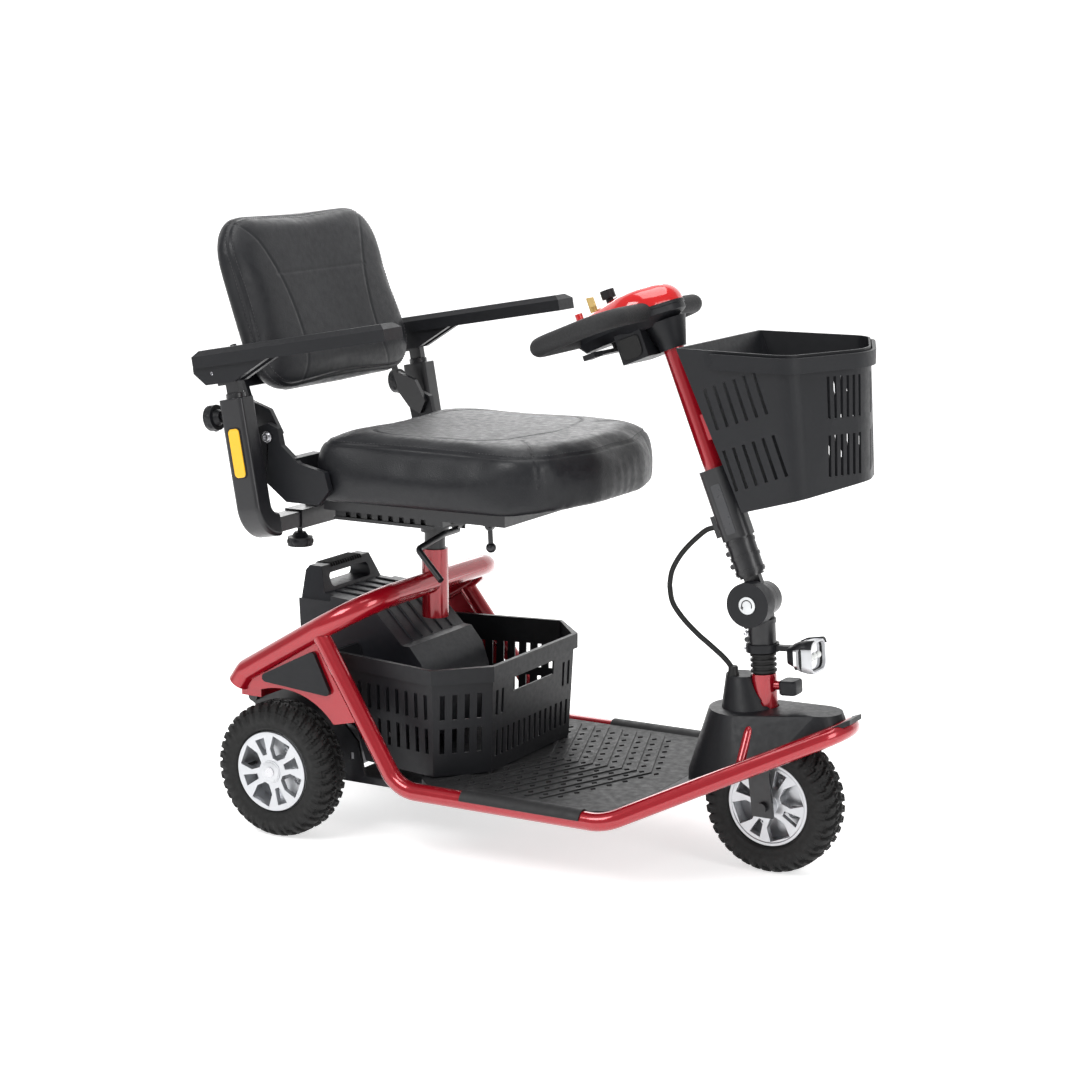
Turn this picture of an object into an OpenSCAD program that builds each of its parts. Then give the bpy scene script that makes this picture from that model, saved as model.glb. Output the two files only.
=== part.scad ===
// Three-wheeled mobility scooter. Millimetres, +X forward, +Y left, +Z up.
// The origin is on the floor under the middle of the overall length.

/* [Wheels] */
// Outer diameter of every tyre
wheel_d = 216; // [196:1:232]
// Width of a tyre
tyre_w = 66; // [56:1:76]
// Diameter of the rim
rim_d = 130; // [118:1:142]
// Distance from the rear axle to the front axle
wheelbase = 756; // [720:1:900]
// Distance between the middles of the rear tyres
track = 444; // [440:1:500]
// Radius of the rear half shafts
axle_r = 8; // [7:0.5:10]

/* [Frame] */
// Radius of the hoop tube under the seat
hoop_r = 18; // [15:0.5:20]
// Half the distance between the sides of the hoop
hoop_half_w = 217; // [210:1:240]
// Radius of the rail tube round the deck
rail_r = 14; // [11:0.5:16]
// Half the distance between the side rails
rail_half_w = 241; // [236:1:280]
// Height of the side rails' centreline
rail_z = 110; // [100:1:124]
// Upward slope of the rail from the deck's front corners to the nose
nose_slope = 24; // [18:1:28]
// Distance from the deck's front corners forward to the front axle
corner_setback = 166; // [150:1:190]
// Radius of the cross tubes
cross_r = 11; // [8:0.5:13]

/* [Deck] */
// Thickness of the floor mat
mat_t = 8; // [6:0.5:10]
// Wall of the moulded front cover
cover_wall = 3; // [2:0.5:4]

/* [Seat] */
// Width of the seat cushion
seat_w = 426; // [380:1:440]
// Depth of the seat cushion, front to back
seat_d = 458; // [400:1:480]
// Thickness of the seat cushion
seat_t = 100; // [70:1:110]
// Height of the backrest cushion
back_h = 284; // [240:1:360]
// Thickness of the backrest cushion
back_t = 54; // [40:1:60]
// Backward lean of the backrest
back_lean = 20; // [10:1:24]
// Distance from the seat's side to an armrest's centreline
arm_out = 49; // [45:1:60]
// Backward lean of the armrest uprights
arm_lean = 10; // [4:1:14]
// Length of an armrest pad
pad_len = 372; // [300:1:390]
// Radius of the seat post
post_r = 17; // [14:0.5:19]

/* [Steering column] */
// Backward lean of the steering axis
rake = 4; // [0:0.5:6]
// Backward lean of the tiller
tilt = 22; // [18:1:24]
// Radius of the column tube
stem_r = 16; // [13:0.5:17]
// Distance from the knuckle to the lower end of the tiller head's socket
stem_len = 400; // [370:1:440]
// Radius of the hand grips
grip_r = 14; // [11:0.5:16]
// Reach of each handle loop from the middle
loop_reach = 160; // [140:1:165]

/* [Baskets] */
// Wall of both baskets
basket_wall = 3; // [2:0.5:4]
// Height of the floor basket
floor_basket_h = 172; // [120:1:176]
// Half the width of the front basket
front_basket_half_w = 150; // [130:1:170]

/* [Fits] */
// Radial clearance of a turning or sliding shaft
run_gap = 0.05; // [0.02:0.01:0.1]
// Clearance between parts that move past each other
part_gap = 0.5; // [0.3:0.1:1]

/* [Hidden] */
$fn = 64;

RED = [0.72, 0.03, 0.07];
BLACK = [0.10, 0.10, 0.11];
GREY = [0.16, 0.17, 0.19];
SILVER = [0.70, 0.71, 0.73];

wheel_r = wheel_d / 2;
rim_r = rim_d / 2;
track_half = track / 2;
deck_front_x = wheelbase - corner_setback;

// Steering knuckle and the directions that start from it
knuckle = [wheelbase - 29, 0, 416];
knuckle_r = 26;
// The cheek and tongue of the knuckle, across the column
cheek_in = 6;
cheek_out = 21;
clamp_r = 21;

// Seat levels
seat_z = 548;
seat_back_x = 42;
post_x = 150;
collar_r = post_r + 4.5;
collar_z = [328, 440];
post_top_z = 490;
back_hinge = [-13, 0, 638];
// Lower edge and front face of the backrest, from its hinge
back_low = 66;
back_face = 34;
arm_foot = [-10, 0, 500];
arm_half = seat_w / 2 + arm_out;

// Front basket's levels and corners
bk_rear_top = wheelbase - 104;
bk_front_top = wheelbase + 132;
bk_top = 806;
bk_rear_low = wheelbase;
bk_front_low = wheelbase + 144;
bk_low_z = 572;
bk_floor_rise = 16;
handle_t = 8;

// Distances from the rear axle to the front and rear ends and to their middle
front_end_x = bk_front_top + handle_t;
rear_end_x = back_hinge[0] + (back_face - back_t) * cos(back_lean)
    - (back_low + back_h) * sin(back_lean);
middle_x = (front_end_x + rear_end_x) / 2;

module from_axle() translate([-middle_x, 0, 0]) children();
module steer() translate(knuckle) rotate([0, -rake, 0]) children();
module tiller() translate(knuckle) rotate([0, -tilt, 0]) children();
module both_sides() { children(); mirror([0, 1, 0]) children(); }
// A cylinder or profile along +Y
module along_y(y = 0) translate([0, y, 0]) rotate([-90, 0, 0]) children();

function unit(v) = v / norm(v);
function turn(a, b) = acos(max(-1, min(1, a * b)));

module rod(a, b, r) {
    d = unit(b - a);
    translate(a) rotate([0, acos(d[2]), atan2(d[1], d[0])])
        cylinder(r = r, h = norm(b - a));
}

// Points along a path whose corners are rounded to one bend radius
bend_steps = 8;
function corner_points(p, a, b, bend) = let(
    angle = turn(a, b),
    n = unit(cross(a, b)),
    e = -cross(n, a),
    c = p - a * bend * tan(angle / 2) - e * bend
) [for (k = [0 : bend_steps]) let(t = angle * k / bend_steps)
    c + bend * (cos(t) * e + sin(t) * a)];
function bent_path(path, bend) = let(last = len(path) - 1) [
    path[0],
    for (i = [1 : last - 1])
        for (q = corner_points(path[i], unit(path[i] - path[i - 1]),
            unit(path[i + 1] - path[i]), bend)) q,
    path[last]
];

// Tube swept along points, none of whose steps is parallel to aside
module swept_tube(points, r, sides, aside = [0, 0, 1]) {
    last = len(points) - 1;
    rings = [for (i = [0 : last]) let(
        d = unit(unit(points[min(last, i + 1)] - points[i == last ? i - 1 : i])
            + unit(points[i == 0 ? 1 : i] - points[max(0, i - 1)])),
        u = unit(cross(d, aside)),
        v = cross(u, d)
    ) [for (k = [0 : sides - 1]) points[i] + r * (cos(k * 360 / sides) * u
        + sin(k * 360 / sides) * v)]];
    polyhedron(
        points = [for (ring = rings, q = ring) q],
        faces = concat(
            [[for (k = [0 : sides - 1]) sides - 1 - k]],
            [for (i = [0 : last - 1], k = [0 : sides - 1]) [
                i * sides + k, i * sides + (k + 1) % sides,
                (i + 1) * sides + (k + 1) % sides, (i + 1) * sides + k
            ]],
            [[for (k = [0 : sides - 1]) last * sides + k]]
        )
    );
}
// Round tube through the corners of path, with one bend radius
tube_sides = 24;
module bent_tube(path, r, bend, sides = tube_sides) swept_tube(bent_path(path, bend), r, sides);

module rounded_box(size, r) {
    linear_extrude(size[2]) rounded_rect([size[0], size[1]], r);
}

module rounded_rect(size, r) {
    x = size[0] / 2 - r;
    y = size[1] / 2 - r;
    square([2 * x, size[1]], center = true);
    square([size[0], 2 * y], center = true);
    for (sx = [-1, 1], sy = [-1, 1]) translate([sx * x, sy * y]) circle(r = r);
}

// ---------------------------------------------------------------- frame

hoop_slope = 30.5;
hoop_rear = [-69, 0, 257];
hoop_front_x = post_x;
hoop_bend = 88;
function hoop_z(x) = hoop_rear[2] + (x - hoop_rear[0]) * tan(hoop_slope);
hoop_tail = [-84, 0, 236];

rail_top_x = 70;
rail_low_x = 232;
rail_bend = 60;
nose_x = wheelbase + 159;
function slope_z(x) = rail_z + max(0, x - deck_front_x) * tan(nose_slope);

module hoop_tube(r) {
    y = hoop_half_w;
    front_z = hoop_z(hoop_front_x);
    swept_tube(concat(
        [[hoop_tail[0], y, hoop_tail[2]]],
        corner_points([hoop_rear[0], y, hoop_rear[2]], unit(hoop_rear - hoop_tail),
            hoop_dir, 20),
        bent_path([
            [hoop_rear[0] + 20, y, hoop_z(hoop_rear[0] + 20)], [hoop_front_x, y, front_z],
            [hoop_front_x, -y, front_z], [hoop_rear[0] + 20, -y, hoop_z(hoop_rear[0] + 20)]
        ], hoop_bend),
        corner_points([hoop_rear[0], -y, hoop_rear[2]], -hoop_dir,
            unit(hoop_tail - hoop_rear), 20),
        [[hoop_tail[0], -y, hoop_tail[2]]]
    ), r, tube_sides);
}
hoop_dir = [cos(hoop_slope), 0, sin(hoop_slope)];

// The straight part of a side rail that rises to the hoop
module rising_rail(r) rod([rail_low_x, rail_half_w, rail_z],
    [rail_top_x, hoop_half_w, hoop_z(rail_top_x)], r);

// Web plate in the triangle between the hoop and the rising rail
web_t = 6;
module gusset_web() difference() {
    along_y_profile(hoop_half_w - web_t / 2, web_t) difference() {
        polygon([
            [hoop_tail[0], hoop_tail[2]], [hoop_rear[0], hoop_rear[2]],
            [rail_top_x, hoop_z(rail_top_x)], [135, 232], [144, 200], [100, 190]
        ]);
        translate([0, wheel_r]) circle(r = wheel_r + 20);
    }
    rising_rail(rail_r);
}

// Extrudes an XZ outline from y to y + t
module along_y_profile(y, t) {
    translate([0, y + t, 0]) rotate([90, 0, 0]) linear_extrude(t) children();
}

module seat_hoop() color(RED) from_axle() {
    difference() {
        union() {
            hoop_tube(hoop_r);
            translate([post_x, 0, collar_z[0]])
                cylinder(r = collar_r, h = collar_z[1] - collar_z[0]);
            // Square stubs to the chassis plates
            both_sides() translate([-80, chassis_half + plate_t, 216])
                cube([38, hoop_half_w - chassis_half - plate_t, 22]);
            both_sides() gusset_web();
        }
        translate([post_x, 0, collar_z[0] - 30])
            cylinder(r = post_r + run_gap, h = collar_z[1] - collar_z[0] + 60);
    }
}

module rail_tube(r) {
    y = rail_half_w;
    bent_tube([
        [rail_top_x, hoop_half_w, hoop_z(rail_top_x)],
        [rail_low_x, y, rail_z], [deck_front_x, y, rail_z],
        [nose_x, 0, slope_z(nose_x)],
        [deck_front_x, -y, rail_z], [rail_low_x, -y, rail_z],
        [rail_top_x, -hoop_half_w, hoop_z(rail_top_x)]
    ], r, rail_bend);
}
// Room for the rail in what sits on it
module rail_room(gap) {
    y = rail_half_w;
    bent_tube([
        [rail_low_x, y, rail_z], [deck_front_x, y, rail_z],
        [nose_x, 0, slope_z(nose_x)],
        [deck_front_x, -y, rail_z], [rail_low_x, -y, rail_z]
    ], (rail_r + gap) / cos(15), rail_bend, 12);
}

module deck_rail() color(RED) from_axle() difference() {
    rail_tube(rail_r);
    both_sides() rod([hoop_rear[0], hoop_half_w, hoop_rear[2]],
        [hoop_front_x, hoop_half_w, hoop_z(hoop_front_x)], hoop_r + weld_gap);
}
// Clearance between tubes that are welded to each other
weld_gap = 0.05;

// Head tube, its side stays and the stay to the nose
head_low = -186;
head_high = -112;
head_r = clamp_r - 2;
module front_frame() color(RED) from_axle() difference() {
    union() {
        steer() translate([0, 0, head_low]) cylinder(r = head_r, h = head_high - head_low);
        side_stays(stay_r);
        nose_stay(stay_r);
        steer() rod([0, 0, -130], [34, 0, -130], 7);
    }
    steer() translate([0, 0, head_low - 20])
        cylinder(r = steerer_r + run_gap, h = head_high - head_low + 40);
    rail_room(0);
}
steerer_r = 13;
stay_r = 7.5;
stay_z = 233.5;
head_x = wheelbase - 16;
stay_y = plan_y(head_x);
module side_stays(r) both_sides() bent_tube([
    [head_x, 10, stay_z], [head_x, 60, stay_z], [head_x, 92, slope_z(head_x) + 4],
    [head_x, stay_y, slope_z(head_x) + 1]
], r, 18);
module nose_stay(r) rod([head_x + 10, 0, stay_z + 2],
    [nose_x - 34, 0, slope_z(nose_x - 34)], r);

// Tubes that join the side rails under the mat
cross_x = [276, deck_front_x - 160, deck_front_x - 30];
module cross_tubes() color(RED) from_axle() difference() {
    for (x = cross_x)
        rod([x, -rail_half_w, rail_z - 4], [x, rail_half_w, rail_z - 4], cross_r);
    both_sides() rod([rail_low_x, rail_half_w, rail_z], [deck_front_x, rail_half_w, rail_z],
        rail_r + weld_gap);
}

// Blank plates on the gusset webs
module badge_plates() color(GREY) from_axle() both_sides()
    along_y_profile(hoop_half_w + web_t / 2, 7) hull() {
        translate([-26, 270 - hoop_r]) circle(r = 7);
        translate([62, 314 - hoop_r]) circle(r = 7);
        translate([88, 243]) circle(r = 7);
    }

chassis_half = 150;
plate_t = 5;
tray_z = 166;
module rear_chassis() color(BLACK) from_axle() difference() {
    union() {
        both_sides() along_y_profile(chassis_half, plate_t) difference() {
            polygon([
                [-104, 186], [-104, 210], [-84, 240], [-38, 240], [34, 214], [58, 190],
                [100, 146], [112, 92], [285, 92], [285, 80], [66, 80], [58, 128],
                [30, 158], [0, 158], [0, 84], [-30, 84], [-44, 150], [-80, 176]
            ]);
            translate([84, 116]) square([8, 12]);
        }
        // Battery tray
        translate([-60, -chassis_half, tray_z]) cube([122, 2 * chassis_half, 3]);
        // Pan under the deck
        translate([66, -chassis_half, 80]) cube([219, 2 * chassis_half, 3]);
        // Stub handles for lifting the rear, and the bar between the plates
        both_sides() rod([-95, chassis_half, 200], [-95, chassis_half + 18, 200], 8.5);
        translate([-100, -chassis_half, 162]) cube([28, 2 * chassis_half, 18]);
        both_sides() translate([-100, chassis_half, 162]) cube([28, plate_t, 30]);
        // Bosses that carry the axle housings
        both_sides() along_y(chassis_half - 4) translate([0, -wheel_r, 0])
            cylinder(r = housing_r + 7, h = 14);
        // Bracket and pin of the freewheel lever
        translate([lever_pivot[0] - 12, lever_pivot[1] - 14, tray_z]) cube([24, 4, 28]);
        translate(lever_pivot) along_y(-14) cylinder(r = 4, h = 20);
    }
    both_sides() along_y(chassis_half - 20) translate([0, -wheel_r, 0])
        cylinder(r = housing_r, h = 40);
}
housing_r = 20;

module transaxle() color(GREY) from_axle() translate([0, 0, wheel_r]) difference() {
    union() {
        along_y(-(chassis_half + 10)) cylinder(r = housing_r, h = 2 * (chassis_half + 10));
        along_y(-34) cylinder(r = 46, h = 68);
        along_y(-40) cylinder(r = 30, h = 80);
        rod([-30, 0, 4], [-50, 0, 4], 34);
    }
    along_y(-(chassis_half + 40)) cylinder(r = axle_r + run_gap, h = 2 * (chassis_half + 40));
}

module drive_motor() color(BLACK) from_axle() translate([0, 0, wheel_r + 4]) {
    rod([-50, 0, 0], [-128, 0, 0], 38);
    rod([-128, 0, 0], [-146, 0, 0], 30);
}

lever_pivot = [40, -104, 184];
module freewheel_lever() color("gold") from_axle() difference() {
    union() {
        translate(lever_pivot) along_y(-4) cylinder(r = 9, h = 8);
        translate(lever_pivot) rotate([0, -50, 0]) translate([0, -4, -6])
            cube([44, 8, 12]);
    }
    translate(lever_pivot) along_y(-20) cylinder(r = 4 + run_gap, h = 40);
}

// ---------------------------------------------------------------- deck

mat_top = rail_z + rail_r - 4;
mat_end_x = deck_front_x + 10;
mat_rear_x = 250;
lip_t = 3;
mat_half = rail_half_w - rail_r - 0.5;
chevron_step = 26;
hole_step = 30;
mat_rows = floor((deck_front_x - 382) / chevron_step);
function mat_hole_x(row, col) = 372 + row * chevron_step - abs(col) * hole_step * 0.39;
module floor_mat() color(BLACK) from_axle() difference() {
    union() {
        translate([0, 0, mat_top - mat_t]) linear_extrude(mat_t) polygon([
            [mat_rear_x, 24 - mat_half], [mat_rear_x, mat_half - 24],
            [mat_rear_x + 24, mat_half], [deck_front_x - 34, mat_half],
            [mat_end_x, mat_half - 28], [mat_end_x, 28 - mat_half],
            [deck_front_x - 34, -mat_half], [mat_rear_x + 24, -mat_half]
        ]);
        // Rounded lips over the side rails
        both_sides() difference() {
            rod([350, rail_half_w, rail_z], [deck_front_x - 34, rail_half_w, rail_z],
                rail_r + lip_t);
            rod([340, rail_half_w, rail_z], [deck_front_x, rail_half_w, rail_z],
                rail_r + 0.2);
            translate([300, rail_half_w - 40, 0]) cube([320, 100, mat_top - mat_t + 1]);
        }
        for (row = [0 : mat_rows - 1]) both_sides() translate([358 + row * chevron_step, 0, mat_top - 1])
            linear_extrude(3) polygon([[0, -1], [5, -1], [-75, 204], [-80, 204]]);
    }
    for (x = cross_x)
        rod([x, -rail_half_w, rail_z - 4], [x, rail_half_w, rail_z - 4], cross_r + 0.2);
    for (row = [0 : mat_rows - 1], col = [-6 : 6])
        translate([mat_hole_x(row, col), col * hole_step, 0]) linear_extrude(200)
            polygon([[-5, 0], [0, -7], [5, 0], [0, 7]]);
}

// Sloping front cover, and the two-stage shroud that rises from it round the head tube
cover_x0 = mat_end_x + 0.5;
cover_x1 = nose_x - 42;
cover_end_x = cover_x1 + 40;
cover_rise = (slope_z(cover_end_x) + 7 - mat_top + mat_t) / (cover_end_x - cover_x0);
function cover_low(x) = mat_top - mat_t + (x - cover_x0) * cover_rise;
module cover_plan() polygon([
    [cover_x0, -(rail_half_w - 12)], [cover_x0, rail_half_w - 12],
    [cover_x1 - 30, plan_y(cover_x1 - 30)], [cover_x1 + 12, 22],
    [cover_x1 + 12, -22], [cover_x1 - 30, -plan_y(cover_x1 - 30)]
]);
function plan_y(x) = rail_half_w * (nose_x - x) / (nose_x - deck_front_x);
module cover_cuts() {
    // Room for the head tube and its lock at the front
    steer() translate([0, 0, -200]) cylinder(r = head_r + 2, h = 260);
    translate([head_x, -24, 258]) cube([60, 48, 80]);
    rail_room(0.2);
    side_stays(stay_r);
    nose_stay(stay_r);
}
module front_cover() color(BLACK) from_axle() difference() {
    intersection() {
        linear_extrude(400) cover_plan();
        along_y_profile(-300, 600) polygon([
            [cover_x0, cover_low(cover_x0)], [cover_x0, cover_low(cover_x0) + mat_t],
            [cover_end_x, cover_low(cover_end_x) + mat_t], [cover_end_x, cover_low(cover_end_x)]
        ]);
    }
    shroud_low(-weld_gap, 0);
    cover_cuts();
}
module wheel_shroud() color(BLACK) from_axle() difference() {
    union() {
        shroud_low(0, 0);
        shroud_high(0);
    }
    shroud_low(cover_wall, 60);
    shroud_high(cover_wall);
    // The rim ends level with the underside of the cover
    along_y_profile(-300, 600) polygon([
        [cover_x0 - 100, 0], [cover_x0 - 100, cover_low(cover_x0 - 100)],
        [cover_end_x + 100, cover_low(cover_end_x + 100)], [cover_end_x + 100, 0]
    ]);
    // Hole for the cable
    translate([cable_end[0], cable_end[1], cable_end[2] - 10]) cylinder(r = cable_r + 1, h = 20);
    cover_cuts();
}
// Lower stage of the shroud, over the front wheel
module shroud_low(inset, drop) hull() {
    translate([head_x - 8, 0, rail_z - drop]) cylinder(r = 110 - inset, h = 1, $fn = 32);
    translate([head_x - 8, 0, 150]) cylinder(r = 110 - inset, h = 1, $fn = 32);
    translate([head_x + 92, 0, 196 - drop]) cylinder(r = 52 - inset, h = 1, $fn = 32);
    translate([head_x - 28, 0, 247 - inset]) cylinder(r = 62 - inset, h = 1, $fn = 32);
    translate([head_x + 86, 0, 256 - inset]) cylinder(r = 36 - inset, h = 1, $fn = 32);
}
// Upper stage, behind the head tube
module shroud_high(inset) hull() {
    translate([head_x - 20, 0, 232]) cylinder(r = 52 - inset, h = 1, $fn = 32);
    translate([head_x - 42, 0, 298 - inset]) cylinder(r = 24 - inset, h = 1, $fn = 32);
}

// ---------------------------------------------------------------- wheels

module tyre() rotate_extrude() difference() {
    translate([wheel_r - 30, 0]) rounded_rect([60, tyre_w], 20);
    translate([0, -tyre_w]) square([rim_r, 2 * tyre_w]);
    for (y = [-12, 12]) translate([wheel_r, y]) circle(r = 2.5);
}
module rim(face) {
    rotate_extrude() polygon([
        [rim_r - 5, -tyre_w * 0.4], [rim_r, -tyre_w * 0.4], [rim_r, tyre_w * 0.4],
        [rim_r - 5, tyre_w * 0.4]
    ]);
    translate([0, 0, face - 12]) linear_extrude(10) difference() {
        circle(r = rim_r - 1);
        circle(r = axle_r);
        for (i = [0 : 3]) rotate(i * 90 + 22) {
            polygon([[22, -4], [34, -15], [56, -17], [56, 17], [34, 15], [22, 4]]);
            rotate(45) polygon([[28, -4], [54, -9], [54, 9], [28, 4]]);
        }
    }
    difference() {
        translate([0, 0, -tyre_w * 0.4]) cylinder(r = 20, h = face - 2 + tyre_w * 0.4);
        translate([0, 0, -tyre_w]) cylinder(r = axle_r, h = 2 * tyre_w);
    }
}
// A wheel part with its own +Z turned outwards, to the left
module rear_place() translate([0, track_half, wheel_r]) rotate([-90, 0, 0]) children();
module rear_tyre_left() color(BLACK) from_axle() rear_place() tyre();
module rear_tyre_right() color(BLACK) from_axle() mirror([0, 1, 0]) rear_place() tyre();
module rear_rim_left() color(SILVER) from_axle() rear_place() rim(tyre_w / 2);
module rear_rim_right() color(SILVER) from_axle() mirror([0, 1, 0]) rear_place()
    rim(tyre_w / 2);
module half_shaft()
    rod([0, 2, wheel_r], [0, track_half + tyre_w / 2 + 3, wheel_r], axle_r);
module rear_axle_left() color(SILVER) from_axle() half_shaft();
module rear_axle_right() color(SILVER) from_axle() mirror([0, 1, 0]) half_shaft();

module front_place() translate([wheelbase, 0, wheel_r]) rotate([90, 0, 0]) children();
module front_tyre() color(BLACK) from_axle() front_place() tyre();
front_hub_half = tyre_w / 2 + 4;
module front_rim() color(SILVER) from_axle() front_place() difference() {
    union() {
        rim(tyre_w / 2 - 6);
        translate([0, 0, -front_hub_half]) cylinder(r = 16, h = 2 * front_hub_half);
    }
    translate([0, 0, -60]) cylinder(r = axle_r + run_gap, h = 120);
}

// ---------------------------------------------------------------- battery

battery_half_w = 95;
module battery_outline() polygon([
    [-44, tray_z + 4], [-54, 396], [-48, 404], [-24, 404], [-10, 364], [84, 358],
    [146, 297], [160, 296], [182, 270], [194, 236], [196, 150], [122, 150],
    [74, tray_z + 4]
]);
module battery_case() color(GREY) from_axle() difference() {
    along_y_profile(-battery_half_w, 2 * battery_half_w) battery_outline();
    // Hand hole of the carrying handle
    translate([-80, 0, 380]) rotate([90, 0, 90]) linear_extrude(120)
        rounded_rect([112, 22], 8);
    // Sloped shoulders beside the handle
    both_sides() translate([-90, 88, 352]) rotate([20, 0, 0]) cube([100, 60, 90]);
}
// ---------------------------------------------------------------- floor basket

fb_top = mat_top + 2 + floor_basket_h;
fb_low = mat_top + 2.4;
module fb_plan(grow) polygon([
    [64 - grow, -(165 + grow)], [270, -(202 + grow)], [336 + grow, -(129 + grow)],
    [336 + grow, 129 + grow], [270, 202 + grow], [64 - grow, 165 + grow]
]);
module fb_low_plan(grow) polygon([
    [124 - grow, -(168 + grow)], [266, -(194 + grow)], [328 + grow, -(124 + grow)],
    [328 + grow, 124 + grow], [266, 194 + grow], [124 - grow, 168 + grow]
]);
module fb_shape(grow, floor) hull() {
    translate([0, 0, fb_low + floor]) linear_extrude(1) fb_low_plan(grow);
    translate([0, 0, fb_top - 1 + floor]) linear_extrude(1) fb_plan(grow);
}
module slots(count, step, size, z) for (i = [0 : count - 1])
    translate([(i - (count - 1) / 2) * step, 0, z]) cube(size, center = true);
module floor_basket() color(BLACK) from_axle() difference() {
    union() {
        fb_shape(0, 0);
        translate([0, 0, fb_top - 24]) linear_extrude(24) difference() {
            fb_plan(4);
            fb_plan(-1);
        }
    }
    fb_shape(-basket_wall, basket_wall);
    // Gap in the rear wall for the battery
    translate([0, 0, fb_low + 20]) translate([40, -101, 0]) cube([120, 202, 200]);
    for (z = [178, 232]) {
        both_sides() translate([175, 184, z]) rotate([0, 0, 10]) slots(9, 20, [7, 60, 40], 0);
        both_sides() translate([300, 166, z]) rotate([0, 0, -48]) slots(4, 20, [8, 30, 40], 0);
    }
    translate([334, 0, 166]) rotate([0, 0, 90]) slots(14, 17, [7, 40, 42], 0);
    both_sides() translate([334, 105, 232]) rotate([0, 0, 90]) slots(2, 17, [7, 40, 40], 0);
    // Hand hole in the front wall
    translate([320, -64, 240]) cube([40, 128, 22]);
}

// ---------------------------------------------------------------- seat

module seat_post() color(BLACK) from_axle() translate([post_x, 0, 0]) {
    translate([0, 0, collar_z[0] + 4]) cylinder(r = post_r, h = post_top_z - collar_z[0] - 4);
    translate([0, 0, post_top_z]) cylinder(r = 34, h = 8);
    translate([0, 0, post_top_z - 22]) cylinder(r = 23, h = 22);
}

plate_z = post_top_z + 8 + 0.4;
rail_y = 118;
module swivel_plate() color(BLACK) from_axle() {
    translate([0, 0, plate_z]) linear_extrude(5) difference() {
        polygon([
            [44, -rail_y - 14], [44, rail_y + 14], [230, rail_y + 14], [252, 60],
            [252, -60], [230, -rail_y - 14]
        ]);
        for (x = [76, 222]) translate([x, 0]) circle(r = 14);
    }
    // Toothed lower slide rails
    both_sides() difference() {
        translate([46, rail_y - 12, plate_z + 5]) cube([200, 24, 9]);
        for (i = [0 : 7]) translate([66 + i * 20, rail_y + 6, plate_z + 4]) cube([9, 10, 12]);
    }
    // Lug and pin of the swivel lever
    translate([swivel_lever_root[0] - 8, -8, plate_z - 20]) cube([16, 3, 20]);
    translate(swivel_lever_root) along_y(-30) cylinder(r = 3, h = 25);
}

swivel_lever_root = [203, 0, plate_z - 13];
swivel_lever_r = 5;
module swivel_lever() color(BLACK) from_axle() difference() {
    union() {
        bent_tube([
            swivel_lever_root + [0, -16, -8], [205, -60, 478], [199, -128, 464],
            [255, -150, 424]
        ], swivel_lever_r, 10, 16);
        translate(swivel_lever_root) along_y(-24.5) cylinder(r = 7, h = 16);
    }
    translate(swivel_lever_root) along_y(-60) cylinder(r = 3 + run_gap, h = 60);
}

carriage_z = plate_z + 5 + 9 + part_gap;
pan_back_x = 50;
pan_inset = 45;
module seat_pan() color(BLACK) from_axle() {
    // Upper slide rails
    both_sides() translate([30, rail_y - 16, carriage_z]) cube([240, 32, 8]);
    // Pressed pan under the cushion
    translate([pan_back_x, pan_inset - seat_w / 2, carriage_z + 8])
        cube([seat_d - 128, seat_w - 2 * pan_inset, seat_z - carriage_z - 8.5]);
    // Lug and pin of the slide lever
    translate(slide_pivot + [-8, -12, 0]) cube([16, 3, 16]);
    translate(slide_pivot) along_y(-12) cylinder(r = 3, h = 12);
}

slide_pivot = [318, -104, carriage_z - 4];
module slide_lever() color(BLACK) from_axle() difference() {
    union() {
        translate(slide_pivot) along_y(-8) cylinder(r = 7, h = 8);
        rod(slide_pivot + [0, -4, 0], slide_pivot + [2, -4, -36], 4);
        translate(slide_pivot + [2, -4, -34]) sphere(r = 8);
    }
    translate(slide_pivot) along_y(-20) cylinder(r = 3 + run_gap, h = 40);
}

module seat_cushion() color(GREY) from_axle() translate([seat_back_x, 0, seat_z])
    hull() for (z = [0, seat_t - 16]) translate([0, 0, z]) for (s = [-1, 1]) {
        translate([36, s * (seat_w / 2 - 36), 0]) cylinder(r = z > 0 ? 34 : 36, h = 16);
        translate([seat_d - 110, s * (seat_w / 2 - 100), 0])
            cylinder(r = z > 0 ? 96 : 100, h = 16);
        translate([seat_d - 60, s * 40, 0]) cylinder(r = z > 0 ? 56 : 60, h = 16);
    }

hinge_out = seat_w / 2 + 13;
hinge_in = seat_w / 2 + 1;
bolt_r = 6;
// Brackets that wrap the seat's rear corners and carry the backrest's hinge
module hinge_brackets() color(BLACK) from_axle() {
    both_sides() difference() {
        union() {
            along_y_profile(hinge_in, hinge_out - hinge_in) polygon([
                [100, 562], [80, 538], [20, 538], [-18, 566], [-34, 630], [-32, 652],
                [-13, 660], [6, 652], [12, 626], [44, 600], [92, 590]
            ]);
            translate([20, 150, 538]) cube([19, hinge_out - 151, 70]);
            translate([20, 150, 538]) cube([28, hinge_out - 151, 9]);
        }
        translate(back_hinge) along_y(hinge_in - 10) cylinder(r = bolt_r + run_gap, h = 40);
    }
}

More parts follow.
